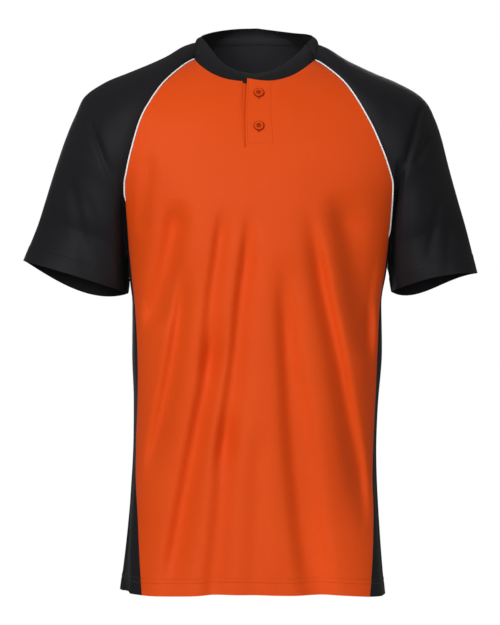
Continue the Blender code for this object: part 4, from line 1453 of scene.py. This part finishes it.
def make_buttonhole(name, surface, thread_material):
    """An upright buttonhole under each button: a slit bound by close stitches, barred at its ends."""
    seat, facing = button_seat(name, surface)
    turned = Vector(facing).to_track_quat("Z", "Y").to_matrix()
    if abs((turned @ Vector((0, 1, 0))).z) < 0.5:
        turned = turned @ Matrix.Rotation(math.radians(90), 3, "Z")
    half = BUTTONHOLE_LENGTH / 2 - BUTTONHOLE_WIDTH
    slit = BUTTONHOLE_WIDTH * BUTTONHOLE_SLIT
    around = []
    for step in range(BUTTONHOLE_STITCHES // 2):
        along = half - 2 * half * step / (BUTTONHOLE_STITCHES // 2 - 1)
        for sign in (1, -1):
            around.append(((sign * slit, along), (sign * BUTTONHOLE_WIDTH, along + BUTTONHOLE_SLANT)))
    for end in (-1, 1):
        for step in range(BUTTONHOLE_BARS):
            up = end * (half + BAR_STARTS + step * BAR_PITCH)
            around.append(((-BUTTONHOLE_WIDTH, up), (BUTTONHOLE_WIDTH, up + BUTTONHOLE_SLANT)))
    paths = []
    for inner, outer in around:
        path = []
        for t in np.linspace(0, 1, BINDING_POINTS):
            x = inner[0] + (outer[0] - inner[0]) * t
            y = inner[1] + (outer[1] - inner[1]) * t + BUTTONHOLE_OFFSET
            rise = BINDING_RISE * math.sin(math.pi * t) - BUTTON_SEAT
            path.append(np.array(turned @ Vector((x, y, rise))) + seat)
        paths.append(path)
    made = cord_object(name + "_hole_binding", paths, BINDING_RADIUS, 1, thread_material, capped=False)
    attach(made)


def make_stitching(grids, sleeves, strip, cords):
    """Two rows of stitches round the hem and each cuff, and a row beside the placket's edges."""
    orange_runs = []
    black_runs = []
    cuff_runs = []
    for height in STITCH_HEIGHTS:
        orange_runs.append(row_at_height(grids["front"], HEM_Z + height))
        for name in ("back", "left", "right"):
            black_runs.append(row_at_height(grids[name], HEM_Z + height))
    for cap, tube, outward in sleeves.values():
        outside = -outward * closed_normals(tube)
        for share in CUFF_STITCH_SHARES:
            row = share * TUBE_ROWS
            low = int(row)
            t = row - low
            ring = tube[low] * (1 - t) + tube[low + 1] * t
            closed = np.concatenate([ring, ring[:1]])
            facing = np.concatenate([outside[low], outside[low][:1]])
            cuff_runs.append((closed, facing))
    outside = normals(strip)
    for place in (1, PLACKET_COLUMNS - 1):
        orange_runs.append((strip[1:-1, place], outside[1:-1, place]))
    orange_runs.append((strip[2, 1:-1], outside[2, 1:-1]))
    for name, runs, thread, slot in (
            ("stitches_orange", orange_runs, "orange_thread", "orange_knit"),
            ("stitches_black", black_runs, "black_thread", "black_knit"),
            ("stitches_cuffs", cuff_runs, "cuff_thread", "black_knit")):
        attach(stitch_mesh(name, runs, cords[thread]))


def make_clothes():
    knits = {name: knit(name, *look) for name, look in KNITS.items()}
    cords = {name: twisted_cord(name, *look) for name, look in CORDS.items()}
    resin = button_resin("orange_resin")
    orange, black, band = (knits[name] for name in ("orange_knit", "black_knit", "collar_knit"))

    first = FRONT_LEFT_COLUMNS
    last = first + PLACKET_COLUMNS
    box_row = YOKE_START + YOKE_ROWS * PLACKET_STATION // (len(RAGLAN) - 1)
    front = front_grid()
    soften_slit(front, box_row)
    close_seams(front)
    for edge, side in (("first_column", "left"), ("last_column", "right")):
        shows = piping_shows(side, yoke_stations())[:, None]
        inset(front[YOKE_START:], edge, PIPING_SIDE * shows)
    back = back_grid()
    close_seams(back)
    grids = {"front": front, "back": back}
    sleeves = {}
    for side in ("left", "right"):
        grids[side] = side_grid(side)
        close_seams(grids[side])
        inset(grids[side], "last_row", SEAM_GAP / 2)
        sleeves[side] = sleeve_grids(side)
        make_piping(side, cords["white_piping"])
    carried = make_allowances(grids, sleeves, black)
    made = panel("front_cloth", front, orange,
                 left_out=lambda row, place: row >= box_row and first <= place < last)
    dress(made, "front_panel")
    made = panel("back_cloth", back, black)
    dress(made, "back_panel")
    for side in ("left", "right"):
        made = panel("side_cloth_" + side, grids[side], black)
        dress(made, "side_panel_" + side,
              carried[side])
        made = sleeve("sleeve_cloth_" + side, side, *sleeves[side][:2], black)
        dress(made, "sleeve_" + side, carried["sleeve_" + side])
    made = panel("collar_cloth", collar_grid(), band)
    dress(made, "collar", [neck_seam(band)])
    over = strip_grid(free_edge, PLACKET_RIGHT, FLAP_LIFT)
    made = panel("placket_over_cloth", over, orange)
    dress(made, "placket_over")
    made = panel("placket_under_cloth", under_grid(), orange)
    dress(made, "placket_under")
    for name in BUTTON_HEIGHTS:
        make_button(name, over, resin, cords["button_thread"])
        make_buttonhole(name, over, cords["orange_thread"])
    make_stitching(grids, sleeves, over, cords)


# Camera: level, 3 m in front of the garment, at mid height
CAMERA_AT = (-0.0075, -3.0, -0.368)
CAMERA_LENS = 127.06
SENSOR = 36.0

# Lights: kind, name, place, target, size in metres or spread in degrees, and power in watts
LIGHTS = (
    ("AREA", "key", (-1.8, -2.6, 0.7), (0, 0, -0.35), 1.1, 52),
    ("AREA", "front", (-0.3, -3.1, 0.1), (0, 0, -0.35), 1.0, 17.5),
    ("AREA", "fill", (1.6, -2.9, 0.15), (0.1, 0, -0.55), 1.1, 15),
    ("AREA", "right", (2.0, -2.3, 0.7), (0.2, 0, -0.2), 0.8, 6),
    ("SPOT", "low_right", (1.9, -2.0, -1.1), (0.15, -0.03, -0.72), 7.0, 34),
    ("AREA", "top", (0.0, 0.2, 2.0), (0, 0, -0.2), 1.6, 3),
    ("AREA", "back", (0.5, 3.1, 0.7), (0, 0, -0.4), 1.2, 24),
    ("AREA", "back_fill", (-0.9, 3.0, 0.0), (0, 0, -0.4), 1.2, 10),
    ("SPOT", "neck", (0.0, -1.5, 1.1), (0.004, 0.08, -0.03), 5.2, 170),
)
SPOT_BLEND = 0.7
SPOT_SOFTNESS = 0.05
BACKDROP = 1.0
AMBIENT = 0.16

FLOOR_Z = -1.6
FLOOR_RADIUS = 1.1
FLOOR_SIDES = 96
FLOOR_PAINT = {
    "Base Color": (0.85, 0.85, 0.85, 1),
    "Roughness": 0.7,
    "Emission Color": (1, 1, 1, 1),
    "Emission Strength": 0.12,
}


def make_light(kind, name, place, target, spread_out, power):
    data = bpy.data.lights.new(name, kind)
    data.energy = power
    if kind == "AREA":
        data.shape = "DISK"
        data.size = spread_out
    else:
        data.spot_size = math.radians(spread_out)
        data.spot_blend = SPOT_BLEND
        data.shadow_soft_size = SPOT_SOFTNESS
    made = link_object(name, data)
    made.visible_camera = kind != "AREA"
    made.location = place
    made.rotation_euler = (Vector(target) - Vector(place)).to_track_quat("-Z", "Y").to_euler()


def make_studio():
    data = bpy.data.cameras.new("camera")
    data.lens = CAMERA_LENS
    data.sensor_width = SENSOR
    camera = link_object("camera", data)
    camera.location = CAMERA_AT
    camera.rotation_euler = (math.radians(90), 0, 0)
    bpy.context.scene.camera = camera

    for light in LIGHTS:
        make_light(*light)

    bpy.ops.mesh.primitive_circle_add(vertices=FLOOR_SIDES, radius=FLOOR_RADIUS, fill_type="NGON",
                                      location=(0, 0, FLOOR_Z))
    floor = bpy.context.object
    floor.name = "studio_floor"
    floor.data.materials.append(new_material("floor_paint", FLOOR_PAINT)[0])

    world = bpy.data.worlds.new("studio")
    bpy.context.scene.world = world
    world.use_nodes = True
    nodes = world.node_tree.nodes
    links = world.node_tree.links
    nodes.clear()
    seen = nodes.new("ShaderNodeLightPath")
    mix = nodes.new("ShaderNodeMixShader")
    out = nodes.new("ShaderNodeOutputWorld")
    for slot, strength in ((1, AMBIENT), (2, BACKDROP)):
        shade = nodes.new("ShaderNodeBackground")
        shade.inputs["Color"].default_value = (1, 1, 1, 1)
        shade.inputs["Strength"].default_value = strength
        links.new(shade.outputs[0], mix.inputs[slot])
    links.new(seen.outputs["Is Camera Ray"], mix.inputs[0])
    links.new(mix.outputs[0], out.inputs["Surface"])
    bpy.context.scene.view_settings.view_transform = "Standard"


make_clothes()
make_studio()
